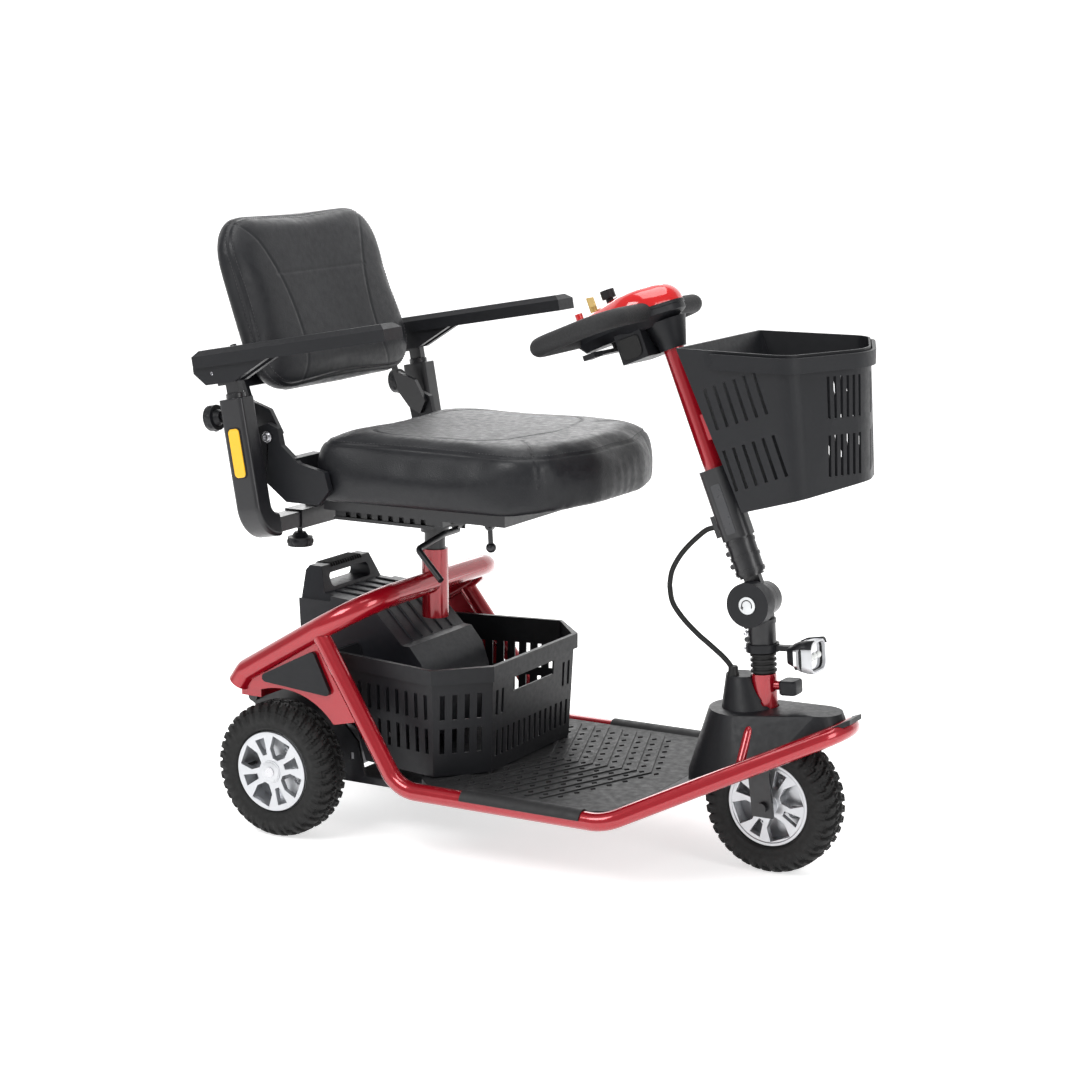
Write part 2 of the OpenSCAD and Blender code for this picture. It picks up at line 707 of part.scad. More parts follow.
module arm_receiver() color(BLACK) from_axle() difference() {
    union() {
        translate([arm_foot[0] - 17, -165, arm_foot[2] - 15]) cube([34, 330, 30]);
        // Arms that carry the tube from the seat's slide rails
        both_sides() translate([arm_foot[0] - 12, 92, arm_foot[2] + 14])
            cube([24, 24, 7.5]);
        both_sides() translate([arm_foot[0] - 12, 92, arm_foot[2] + 21])
            cube([pan_back_x - arm_foot[0] + 12, 24, 6]);
    }
    translate([arm_foot[0] - 17 + 2.5, -200, arm_foot[2] - 15 + 2.5]) cube([29, 400, 25]);
    both_sides() translate([arm_foot[0], 148, arm_foot[2] - 30]) cylinder(r = 4 + run_gap, h = 30);
}

// Lobed hand knob on a threaded stem, stem pointing up
module hand_knob(stem) {
    cylinder(r = 4, h = stem);
    translate([0, 0, -16]) cylinder(r = 20, h = 14);
    translate([0, 0, -2]) cylinder(r1 = 14, r2 = 9, h = 8);
}
module width_knob() from_axle() translate([arm_foot[0], 148, arm_foot[2] - 30]) hand_knob(15.2);
module width_knob_left() color(BLACK) width_knob();
module width_knob_right() color(BLACK) mirror([0, 1, 0]) width_knob();

// The armrest's own frame: origin on the receiver's axis, leaning back
module arm_place() translate(arm_foot) rotate([0, -arm_lean, 0]) children();
upright = [44, 38];
upright_top = 204;
post = [22, 14];
post_top = 236;
upright_bend = 34;
module arm_upright() from_axle() difference() {
    union() {
        arm_place() {
            translate([0, arm_half, upright_bend])
                rounded_box([upright[0], upright[1], upright_top - upright_bend], 7);
            translate([0, arm_half, upright_top - 1]) cylinder(r = 15, h = 9);
            // Quarter bend of the lower end, about the X axis
            translate([0, arm_half - upright_bend, upright_bend]) rotate([0, 90, 0])
                rotate_extrude(angle = 90) translate([upright_bend, 0])
                    rounded_rect([upright[1], upright[0]], 7);
        }
        // Leg that slides in the receiver
        translate([arm_foot[0] - 14, 66, arm_foot[2] - 12])
            cube([28, arm_half - upright_bend - 62, 24]);
    }
    arm_place() translate([0, arm_half, 50])
        linear_extrude(upright_top) square(post + [2 * part_gap, 2 * part_gap], center = true);
    arm_place() translate([-40, arm_half, 178]) rotate([0, 90, 0])
        cylinder(r = 4 + run_gap, h = 32);
}
module arm_upright_left() color(BLACK) arm_upright();
module arm_upright_right() color(BLACK) mirror([0, 1, 0]) arm_upright();

pad_axis = [-26, 0, 247];
module arm_post() from_axle() arm_place() {
    translate([0, arm_half, 60]) linear_extrude(post_top - 60) square(post, center = true);
    difference() {
        union() {
            translate([pad_axis[0], arm_half - 7, 226]) cube([37, 14, 29]);
            translate([pad_axis[0], 0, pad_axis[2]]) along_y(arm_half - 7)
                cylinder(r = 9, h = 14);
        }
        translate([pad_axis[0], 0, pad_axis[2]]) along_y(arm_half - 30)
            cylinder(r = 5 + run_gap, h = 60);
    }
}
module arm_post_left() color(BLACK) arm_post();
module arm_post_right() color(BLACK) mirror([0, 1, 0]) arm_post();

module height_knob() from_axle() arm_place() translate([-39, arm_half, 178]) rotate([0, 90, 0])
    hand_knob(27.4);
module height_knob_left() color(BLACK) height_knob();
module height_knob_right() color(BLACK) mirror([0, 1, 0]) height_knob();

pad_w = 50;
pad_t = 26;
pad_z = 258;
module arm_pad() from_axle() arm_place() {
    difference() {
        union() {
            translate([pad_axis[0] - 34, arm_half, pad_z]) hull() {
                translate([14, 0, 0]) linear_extrude(pad_t - 8)
                    translate([pad_len / 2 - 14, 0]) square([pad_len - 12, pad_w], center = true);
                translate([14, 0, 0]) linear_extrude(pad_t)
                    translate([pad_len / 2 - 14, 0]) square([pad_len - 30, pad_w - 18],
                        center = true);
            }
            both_sides_of(arm_half) along_y_profile(8, 10) polygon([
                [pad_axis[0] - 34, pad_z + 1], [pad_axis[0] - 34, pad_z - 8],
                [pad_axis[0] - 14, pad_z - 28], [pad_axis[0] + 40, pad_z - 28],
                [pad_axis[0] + 110, pad_z + 1]
            ]);
        }
        translate([pad_axis[0], 0, pad_axis[2]]) along_y(arm_half - 60)
            cylinder(r = 3, h = 120);
    }
    translate([pad_axis[0], 0, pad_axis[2]]) along_y(arm_half - 12) cylinder(r = 5, h = 24);
}
module both_sides_of(y) {
    translate([0, y, 0]) children();
    translate([0, y, 0]) mirror([0, 1, 0]) children();
}
module arm_pad_left() color(BLACK) arm_pad();
module arm_pad_right() color(BLACK) mirror([0, 1, 0]) arm_pad();

// The backrest's own frame: origin on its hinge, +Z up the cushion
module back_place() translate(back_hinge) rotate([0, -back_lean, 0]) children();
module backrest_cushion() color(GREY) from_axle() back_place()
    translate([back_face - back_t, 0, back_low]) rotate([0, 90, 0]) linear_extrude(back_t)
        translate([-back_h / 2, 0]) rounded_rect([back_h, seat_w], 46);

back_plate_x = back_face - back_t - 6.5;
module backrest_frame() color(BLACK) from_axle() back_place() {
    both_sides() along_y_profile(hinge_in - 9, 8.4) polygon([
        [-17, 0], [0, -17], [17, 0], [10, 40], [back_plate_x + 6, back_low - 2],
        [back_plate_x + 6, back_low + 90], [back_plate_x, back_low + 90],
        [back_plate_x - 2, 30]
    ]);
    both_sides() along_y(hinge_in - 4) cylinder(r = bolt_r, h = 20);
    translate([back_plate_x, -hinge_in + 4, back_low + 20]) cube([6, 2 * hinge_in - 8, 50]);
}

// ---------------------------------------------------------------- column

crown_t = 4.6;
leg_in = front_hub_half + part_gap;
leg_t = 6;
clamp_low = -78;
module fork() color(BLACK) from_axle() {
    crown_z = wheel_d + 3.2;
    steer() translate([0, 0, -196]) cylinder(r = steerer_r, h = 196 - 60);
    translate([head_x - 18, -leg_in - leg_t, crown_z]) cube([36, 2 * (leg_in + leg_t), crown_t]);
    both_sides() along_y_profile(leg_in, leg_t) polygon([
        [head_x - 18, crown_z + crown_t], [head_x + 18, crown_z + crown_t],
        [wheelbase + 17, wheel_r - 16], [wheelbase - 17, wheel_r - 16]
    ]);
    translate([wheelbase, 0, wheel_r]) along_y(-front_hub_half - 14)
        cylinder(r = axle_r, h = 2 * front_hub_half + 28);
}

bellows_step = (clamp_low - head_high - part_gap) / 4;
module bellows() color(BLACK) from_axle() steer() difference() {
    union() for (i = [0 : 3]) translate([0, 0, head_high + part_gap + i * bellows_step]) {
        cylinder(r = 17, h = bellows_step);
        translate([0, 0, 2]) cylinder(r = 20, h = 4);
    }
    translate([0, 0, -140]) cylinder(r = steerer_r + 1, h = 100);
}

module clamp_bolts(y) for (z = [18, 38]) translate([-clamp_r - 1, 0, z])
    along_y(-9) cylinder(r = 4, h = 18);
module lower_clamp() color(BLACK) from_axle() difference() {
    union() {
        steer() translate([0, 0, clamp_low]) {
            cylinder(r = clamp_r, h = 50);
            for (z = [0, 44]) translate([0, 0, z]) cylinder(r = clamp_r + 1.5, h = 6);
            clamp_bolts();
        }
        intersection() {
            translate(knuckle + [0, cheek_in, 0]) along_y() cylinder(r = knuckle_r,
                h = cheek_out - cheek_in);
            translate(knuckle - [50, 50, 50]) cube(100);
        }
        translate(knuckle) along_y(-cheek_out) cylinder(r = knuckle_r, h = cheek_out - cheek_in);
        steer() translate([0, 0, -34]) cylinder(r = 16, h = 6);
        steer() both_sides() translate([-14, cheek_in, -34]) cube([28, 11, 20]);
    }
    translate(knuckle) along_y(-60) cylinder(r = 5 + run_gap, h = 120);
    steer() translate([0, 0, -100]) cylinder(r = steerer_r, h = 40);
}

module clamp_knob() color(BLACK) from_axle() translate(knuckle) {
    along_y(-cheek_out - 3) cylinder(r = 5, h = 2 * cheek_out + 4);
    along_y(-cheek_out - 26) difference() {
        cylinder(r = 34, h = 24);
        for (i = [0 : 39]) if (i % 20 > 5) rotate(i * 9) translate([34, -1, -1])
            cube([5, 2, 16]);
    }
    along_y(-cheek_out - 27) cylinder(r = 12, h = 2);
}

module upper_clamp() color(BLACK) from_axle() tiller() difference() {
    union() {
        along_y(-cheek_in + part_gap) cylinder(r = knuckle_r, h = 2 * (cheek_in - part_gap));
        translate([-13, -cheek_in + part_gap, 10]) cube([26, 2 * (cheek_in - part_gap), 32]);
        translate([0, 0, 38]) cylinder(r = 19, h = 6);
        translate([0, 0, 42]) cylinder(r = clamp_r + 1, h = 58);
        for (z = [44, 67, 90]) translate([0, 0, z]) cylinder(r = clamp_r + 2.5, h = 6);
        translate([0, 0, 42]) clamp_bolts();
        // Sleeve over the column tube, with its flat face on the near side
        translate([0, 0, 99]) rounded_box([48, 38, 111], 14);
        translate([-31, -9, 108]) cube([14, 18, 34]);
    }
    translate([0, 0, 60]) cylinder(r = stem_r, h = 200);
    along_y(-60) cylinder(r = 5 + run_gap, h = 120);
}

module stem_tube() color(RED) from_axle() tiller() {
    translate([0, 0, 60]) cylinder(r = stem_r, h = stem_len + 36 - 60);
    // Hook plate that carries the basket
    translate([stem_r - 3, -16, 252]) cube([basket_x - stem_r + 3 - 0.4, 32, 40]);
}
// Distance from the column's axis to the back of the front basket
basket_x = stem_r + 24;

// Route of the cable from the column's port down to the shroud
cable_path = [
    [650, 0, 519.8], [632, -1, 512], [600, -4, 480], [582, -6, 450], [578, -8, 425],
    [584, -10, 400], [602, -12, 378], [628, -13, 356], [652, -14, 340], [674, -14, 324],
    [687, -14, 310], [690, -14, 296]
];
cable_end = cable_path[len(cable_path) - 1];
cable_r = 4;
cable_sides = 10;
cable_steps = 4;
// Smooth curve through the points, between point i and the next
function spline(p, i, t) = let(
    last = len(p) - 1,
    a = p[max(0, i - 1)], b = p[i], c = p[i + 1], d = p[min(last, i + 2)]
) 0.5 * (2 * b + (c - a) * t + (2 * a - 5 * b + 4 * c - d) * t * t
    + (3 * b - a - 3 * c + d) * t * t * t);
function smooth(p, steps) = concat(
    [for (i = [0 : len(p) - 2], k = [0 : steps - 1]) spline(p, i, k / steps)],
    [p[len(p) - 1]]);
module cable() color(BLACK) from_axle()
    swept_tube(smooth(cable_path, cable_steps), cable_r, cable_sides, [0, 1, 0]);

// ---------------------------------------------------------------- lamp

lamp_at = [0, 0, -78];
lamp_x = 68;
lamp_w = 54;
module headlight() color(GREY) from_axle() steer() translate(lamp_at) difference() {
    union() {
        translate([lamp_x - 22, 0, -4]) rotate([0, 90, 0]) hull() {
            linear_extrude(4) rounded_rect([26, 30], 8);
            translate([0, 0, 26]) linear_extrude(14) rounded_rect([46, lamp_w], 14);
        }
        translate([clamp_r + 2, -6, 2]) cube([lamp_x - clamp_r - 6, 12, 8]);
        difference() {
            translate([0, 0, 0]) cylinder(r = clamp_r + 4.5, h = 12);
            translate([0, 0, -1]) cylinder(r = clamp_r + 1.5 + weld_gap, h = 14);
        }
    }
    translate([lamp_x - 8, 0, -4]) rotate([0, 90, 0]) linear_extrude(60)
        rounded_rect([40, lamp_w - 6], 11);
}
module lamp_lens() color([0.9, 0.93, 0.95, 0.6]) from_axle() steer() translate(lamp_at)
    translate([lamp_x - 8, 0, -4]) rotate([0, 90, 0]) linear_extrude(24)
        rounded_rect([39.6, lamp_w - 6.4], 10.8);

// ---------------------------------------------------------------- tiller head

// Heights above the knuckle, along the column
loop_z = 464;
shell_low = 440;
panel_z = 494;
head_rear = -150;
module head_plan(grow) hull() {
    translate([head_rear + 34, 0]) circle(r = 36 + grow, $fn = 32);
    translate([-28, 0]) circle(r = 60 + grow, $fn = 32);
    translate([0, 0]) circle(r = 38 + grow, $fn = 32);
}
module tiller_shell() color(BLACK) from_axle() tiller() difference() {
    union() {
        hull() {
            translate([0, 0, shell_low + 14]) linear_extrude(14) head_plan(0);
            translate([-6, 0, shell_low]) linear_extrude(2) head_plan(-16);
        }
        translate([0, 0, stem_len]) cylinder(r1 = stem_r + 4, r2 = 34, h = 44);
        translate([-66, -46, 400]) cube([46, 92, 46]);
    }
    translate([0, 0, 380]) cylinder(r = stem_r, h = stem_len + 36 - 380);
    hull() {
        translate([0, 0, shell_low + 40]) linear_extrude(2) head_plan(-3);
        translate([-6, 0, shell_low + 3]) linear_extrude(2) head_plan(-20);
    }
    translate([paddle_pivot[0], 0, shell_low - 2]) cylinder(r = 5 + run_gap, h = 20);
    grip_path_tube(grip_r);
}
module tiller_cover() color("red") from_axle() tiller() difference() {
    hull() {
        translate([0, 0, shell_low + 28.3]) linear_extrude(2) head_plan(0);
        translate([head_rear + 44, 0, panel_z]) cylinder(r = 28, h = 2, $fn = 32);
        translate([-34, 0, panel_z + 10]) cylinder(r = 38, h = 2, $fn = 32);
    }
    hull() {
        translate([0, 0, shell_low + 20]) linear_extrude(2) head_plan(-3);
        translate([head_rear + 44, 0, panel_z - 4]) cylinder(r = 24, h = 1, $fn = 32);
        translate([-34, 0, panel_z + 6]) cylinder(r = 34, h = 1, $fn = 32);
    }
    grip_path_tube(grip_r);
    for (x = [key_x, dial_x, button_x]) translate([x, 0, 470])
        cylinder(r = shaft_hole + part_gap, h = 60);
}
shaft_hole = 6;
key_x = -108;
dial_x = -76;
button_x = -136;
module grip_path_tube(r) {
    for (s = [-1, 1]) bent_tube([
        [-4, s * 30, loop_z], [-8, s * loop_reach, loop_z],
        [head_rear - 4, s * (loop_reach - 6), loop_z], [head_rear + 10, s * 20, loop_z]
    ], r, 44);
}
module grip_loops() color(BLACK) from_axle() tiller() grip_path_tube(grip_r);

module ignition_key() color("gold") from_axle() tiller() translate([key_x, 0, 470]) {
    cylinder(r = shaft_hole, h = 34);
    translate([-1.2, -10, 33]) cube([2.4, 20, 16]);
}
module speed_dial() color(BLACK) from_axle() tiller() translate([dial_x, 0, 470]) {
    cylinder(r = shaft_hole, h = 38);
    translate([0, 0, 37]) cylinder(r = 11, h = 13);
}
module horn_button() color("red") from_axle() tiller() translate([button_x, 0, 472])
    cylinder(r = shaft_hole, h = 30);
paddle_pivot = [-92, 0, 432];
module throttle_paddle() color(BLACK) from_axle() tiller() translate(paddle_pivot) {
    cylinder(r = 5, h = 12);
    translate([-8, -84, -6]) cube([16, 168, 6]);
    both_sides() translate([-10, 66, -8]) cube([20, 26, 8]);
}

// ---------------------------------------------------------------- front basket

module fbk_top(grow) hull() {
    translate([bk_rear_top + 6 - grow, 0])
        square([12, 2 * (front_basket_half_w - 8 + grow)], center = true);
    translate([bk_front_top - 90, 0]) circle(r = 90 + grow);
    for (s = [-1, 1]) translate([bk_front_top - 80, s * (front_basket_half_w - 36)])
        circle(r = 36 + grow, $fn = 32);
}
module fbk_low(grow) hull() {
    translate([bk_rear_low + 6 - grow, 0])
        square([12, 2 * (front_basket_half_w - 18 + grow)], center = true);
    translate([bk_front_low - 80, 0]) circle(r = 80 + grow);
    for (s = [-1, 1]) translate([bk_front_low - 66, s * (front_basket_half_w - 44)])
        circle(r = 30 + grow, $fn = 32);
}
module basket_solid(grow, floor) hull() {
    translate([bk_rear_low, 0, bk_low_z + floor]) rotate([0, -bk_floor_rise, 0])
        translate([-bk_rear_low, 0, 0]) linear_extrude(1) fbk_low(grow);
    translate([0, 0, bk_top - 1 + floor]) linear_extrude(1) fbk_top(grow);
}
module front_basket() color(BLACK) from_axle() {
    difference() {
        basket_solid(0, 0);
        basket_solid(-basket_wall, basket_wall);
        for (row = [0, 1]) {
            translate([bk_rear_top + 96 + row * 30, 0, 735 - row * 88]) rotate([0, -20, 0])
                slots(6, 17, [5, 400, 62], 0);
            translate([bk_front_top - 8, 0, 740 - row * 84]) rotate([0, 4, 0])
                for (g = [-1, 1]) translate([0, g * 50, 0]) rotate([0, 0, 90])
                    slots(6, 12, [5, 90, 60], 0);
        }
    }
    // Pins of the carrying handle
    both_sides() translate(handle_pivot) along_y(front_basket_half_w - 7)
        cylinder(r = 4, h = 9);
}
// Carrying handle that lies round the rim and swings up about two pins
handle_pivot = [bk_rear_top + 60, 0, bk_top - 15];
module basket_handle() color(BLACK) from_axle() difference() {
    union() {
        translate([0, 0, bk_top - 26]) linear_extrude(22) difference() {
            intersection() {
                fbk_top(handle_t);
                translate([handle_pivot[0], -300]) square([400, 600]);
            }
            fbk_top(2);
        }
        both_sides() translate(handle_pivot) along_y(front_basket_half_w - 3.5)
            cylinder(r = 11, h = 4.5);
    }
    translate(handle_pivot) along_y(-300) cylinder(r = 4 + run_gap, h = 600);
}

seat_hoop();
deck_rail();
front_frame();
cross_tubes();
badge_plates();
rear_chassis();
transaxle();
drive_motor();
floor_mat();
front_cover();
freewheel_lever();
rear_axle_left();
rear_axle_right();
rear_rim_left();
rear_rim_right();
rear_tyre_left();
rear_tyre_right();
front_rim();
front_tyre();
battery_case();
wheel_shroud();
floor_basket();
seat_post();
swivel_plate();
swivel_lever();
seat_pan();
slide_lever();
seat_cushion();
hinge_brackets();
backrest_cushion();
backrest_frame();
arm_receiver();
width_knob_left();
width_knob_right();
arm_upright_left();
arm_upright_right();
arm_post_left();
arm_post_right();
height_knob_left();
height_knob_right();
arm_pad_left();
arm_pad_right();
fork();
bellows();
lower_clamp();
clamp_knob();
upper_clamp();
stem_tube();
cable();
headlight();
tiller_shell();
tiller_cover();
grip_loops();
ignition_key();
speed_dial();
horn_button();
throttle_paddle();
front_basket();
basket_handle();
lamp_lens();
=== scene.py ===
"""Looks of the mobility scooter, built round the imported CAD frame. Metres, +X forward, +Y left, +Z up."""
import math

import bmesh
import bpy
import numpy as np
from mathutils import Matrix, Vector
from mathutils.bvhtree import BVHTree
from mathutils.kdtree import KDTree


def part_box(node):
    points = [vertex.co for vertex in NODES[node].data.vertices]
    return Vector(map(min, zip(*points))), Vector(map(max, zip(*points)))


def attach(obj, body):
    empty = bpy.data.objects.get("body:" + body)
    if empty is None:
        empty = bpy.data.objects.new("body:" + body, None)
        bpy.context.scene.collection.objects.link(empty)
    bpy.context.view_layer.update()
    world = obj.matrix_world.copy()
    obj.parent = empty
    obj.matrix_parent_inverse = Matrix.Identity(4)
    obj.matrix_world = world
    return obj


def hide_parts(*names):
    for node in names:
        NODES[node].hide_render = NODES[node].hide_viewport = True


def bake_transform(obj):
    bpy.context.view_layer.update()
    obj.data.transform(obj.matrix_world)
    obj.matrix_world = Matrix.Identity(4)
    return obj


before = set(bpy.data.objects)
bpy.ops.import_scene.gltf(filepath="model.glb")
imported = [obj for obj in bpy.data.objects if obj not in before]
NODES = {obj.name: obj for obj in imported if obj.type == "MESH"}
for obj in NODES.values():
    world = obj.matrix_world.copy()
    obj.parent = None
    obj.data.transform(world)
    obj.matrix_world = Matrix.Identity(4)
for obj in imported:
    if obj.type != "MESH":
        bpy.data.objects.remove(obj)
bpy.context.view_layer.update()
MM = 0.001

# ------------------------------------------------------------------ places
_lo, _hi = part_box("rear_tyre_left")
AXLE_X = (_lo.x + _hi.x) / 2
WHEEL_R = (_hi.z - _lo.z) / 2


def P(x, y, z):
    """A point given in millimetres from the middle of the rear axle's floor line."""
    return Vector((AXLE_X + x * MM, y * MM, z * MM))


def leaning(point, degrees):
    """A frame at a point whose +Z leans back by some degrees. Its units are metres."""
    return Matrix.Translation(P(*point)) @ Matrix.Rotation(-math.radians(degrees), 4, "Y")


WHEELBASE = 756
HALF_TRACK = 222
KNUCKLE = (WHEELBASE - 29, 0, 416)
BACK_HINGE = (-13, 0, 638)
HUB_OUT = 31  # from the middle of a rear wheel out to its hub's face
STEER = leaning(KNUCKLE, 4)
TILLER = leaning(KNUCKLE, 22)
BACK = leaning(BACK_HINGE, 20)
ARM = leaning((-10, 0, 500), 10)

# ------------------------------------------------------------------ camera, light, floor
scene = bpy.context.scene
scene.view_settings.view_transform = "Standard"
scene.view_settings.look = "None"

cam_data = bpy.data.cameras.new("camera")
cam_data.sensor_width = 36.0
cam_data.lens = 84.753
cam_data.shift_y = -0.02167
cam_data.clip_start, cam_data.clip_end = 0.1, 100
cam = bpy.data.objects.new("camera", cam_data)
scene.collection.objects.link(cam)
cam.location = P(2294.8, -3409.1, 1226.6)
azimuth, elevation = math.radians(29.766), math.radians(10.359)
back_dir = Vector((
    math.sin(azimuth) * math.cos(elevation),
    -math.cos(azimuth) * math.cos(elevation),
    math.sin(elevation),
))
cam.rotation_mode = "QUATERNION"
cam.rotation_quaternion = (-back_dir).to_track_quat("-Z", "Y")
scene.camera = cam

world = bpy.data.worlds.new("studio")
scene.world = world
world.use_nodes = True
world.node_tree.nodes["Background"].inputs["Color"].default_value = (1.0, 1.0, 1.0, 1)
world.node_tree.nodes["Background"].inputs["Strength"].default_value = 0.42


def area_light(name, place, target, size, power):
    data = bpy.data.lights.new(name, "AREA")
    data.shape = "RECTANGLE"
    data.size, data.size_y = size
    data.energy = power
    light = bpy.data.objects.new(name, data)
    scene.collection.objects.link(light)
    light.location = place
    aim = Vector(target) - Vector(place)
    light.rotation_euler = aim.to_track_quat("-Z", "Y").to_euler()


area_light("key", (-0.6, -2.4, 2.6), (0, 0, 0.5), (1.6, 1.2), 48)
area_light("top", (0.2, 0.2, 3.0), (0, 0, 0.4), (2.4, 1.6), 40)
area_light("right", (2.8, -0.8, 1.6), (0.2, 0, 0.5), (1.0, 1.8), 26)
area_light("behind", (-1.8, 2.4, 2.0), (0, 0, 0.5), (1.6, 1.6), 22)


# ------------------------------------------------------------------ materials
def linked(tree, a, b):
    tree.links.new(a, b)


class Shader:
    """A Principled material whose colour, roughness and relief come from nodes in object space."""

    def __init__(self, name, colour, rough, metal=0.0, spread=0.12, spread_scale=18,
                 rough_spread=0.06, **sockets):
        self.mat = bpy.data.materials.new(name)
        self.mat.use_nodes = True
        self.tree = self.mat.node_tree
        self.bsdf = self.tree.nodes["Principled BSDF"]
        self.coord = self.tree.nodes.new("ShaderNodeTexCoord").outputs["Object"]
        self.normal = None
        self.bsdf.inputs["Metallic"].default_value = metal
        for key, value in sockets.items():
            self.bsdf.inputs[key.replace("_", " ")].default_value = value
        cloud = self.noise(spread_scale, 5)
        dark = [c * (1 - spread) for c in colour]
        light = [min(1, c * (1 + spread)) for c in colour]
        self.colour = self.mix(cloud, dark, light)
        linked(self.tree, self.colour, self.bsdf.inputs["Base Color"])
        fine = self.noise(spread_scale * 7, 4)
        span = self.tree.nodes.new("ShaderNodeMapRange")
        linked(self.tree, fine, span.inputs["Value"])
        span.inputs["From Min"].default_value = 0.3
        span.inputs["From Max"].default_value = 0.7
        span.inputs["To Min"].default_value = max(0.02, rough - rough_spread)
        span.inputs["To Max"].default_value = min(1, rough + rough_spread)
        linked(self.tree, span.outputs["Result"], self.bsdf.inputs["Roughness"])

    def noise(self, scale, detail=3, roughness=0.5, distortion=0.0):
        node = self.tree.nodes.new("ShaderNodeTexNoise")
        linked(self.tree, self.coord, node.inputs["Vector"])
        node.inputs["Scale"].default_value = scale
        node.inputs["Detail"].default_value = detail
        node.inputs["Roughness"].default_value = roughness
        node.inputs["Distortion"].default_value = distortion
        return node.outputs["Fac"]

    def cells(self, scale, feature="F1", randomness=1.0):
        node = self.tree.nodes.new("ShaderNodeTexVoronoi")
        linked(self.tree, self.coord, node.inputs["Vector"])
        node.feature = feature
        node.inputs["Scale"].default_value = scale
        node.inputs["Randomness"].default_value = randomness
        return node.outputs["Distance"]

    def ramp(self, value, low, high):
        node = self.tree.nodes.new("ShaderNodeMapRange")
        linked(self.tree, value, node.inputs["Value"])
        node.inputs["From Min"].default_value = low
        node.inputs["From Max"].default_value = high
        return node.outputs["Result"]

    def mix(self, factor, a, b):
        node = self.tree.nodes.new("ShaderNodeMix")
        node.data_type = "RGBA"
        linked(self.tree, factor, node.inputs["Factor"])
        for key, value in (("A", a), ("B", b)):
            socket = [s for s in node.inputs if s.name == key and s.type == "RGBA"][0]
            if isinstance(value, (list, tuple)):
                socket.default_value = (*value[:3], 1)
            else:
                linked(self.tree, value, socket)
        return [s for s in node.outputs if s.type == "RGBA"][0]

    def tint(self, factor, colour):
        """Lays a colour over the base where the factor is 1."""
        self.colour = self.mix(factor, self.colour, colour)
        linked(self.tree, self.colour, self.bsdf.inputs["Base Color"])
        return self

    def bump(self, height, distance, strength=1.0):
        node = self.tree.nodes.new("ShaderNodeBump")
        node.inputs["Distance"].default_value = distance
        node.inputs["Strength"].default_value = strength
        linked(self.tree, height, node.inputs["Height"])
        if self.normal is not None:
            linked(self.tree, self.normal, node.inputs["Normal"])
        self.normal = node.outputs["Normal"]
        linked(self.tree, self.normal, self.bsdf.inputs["Normal"])
        return self


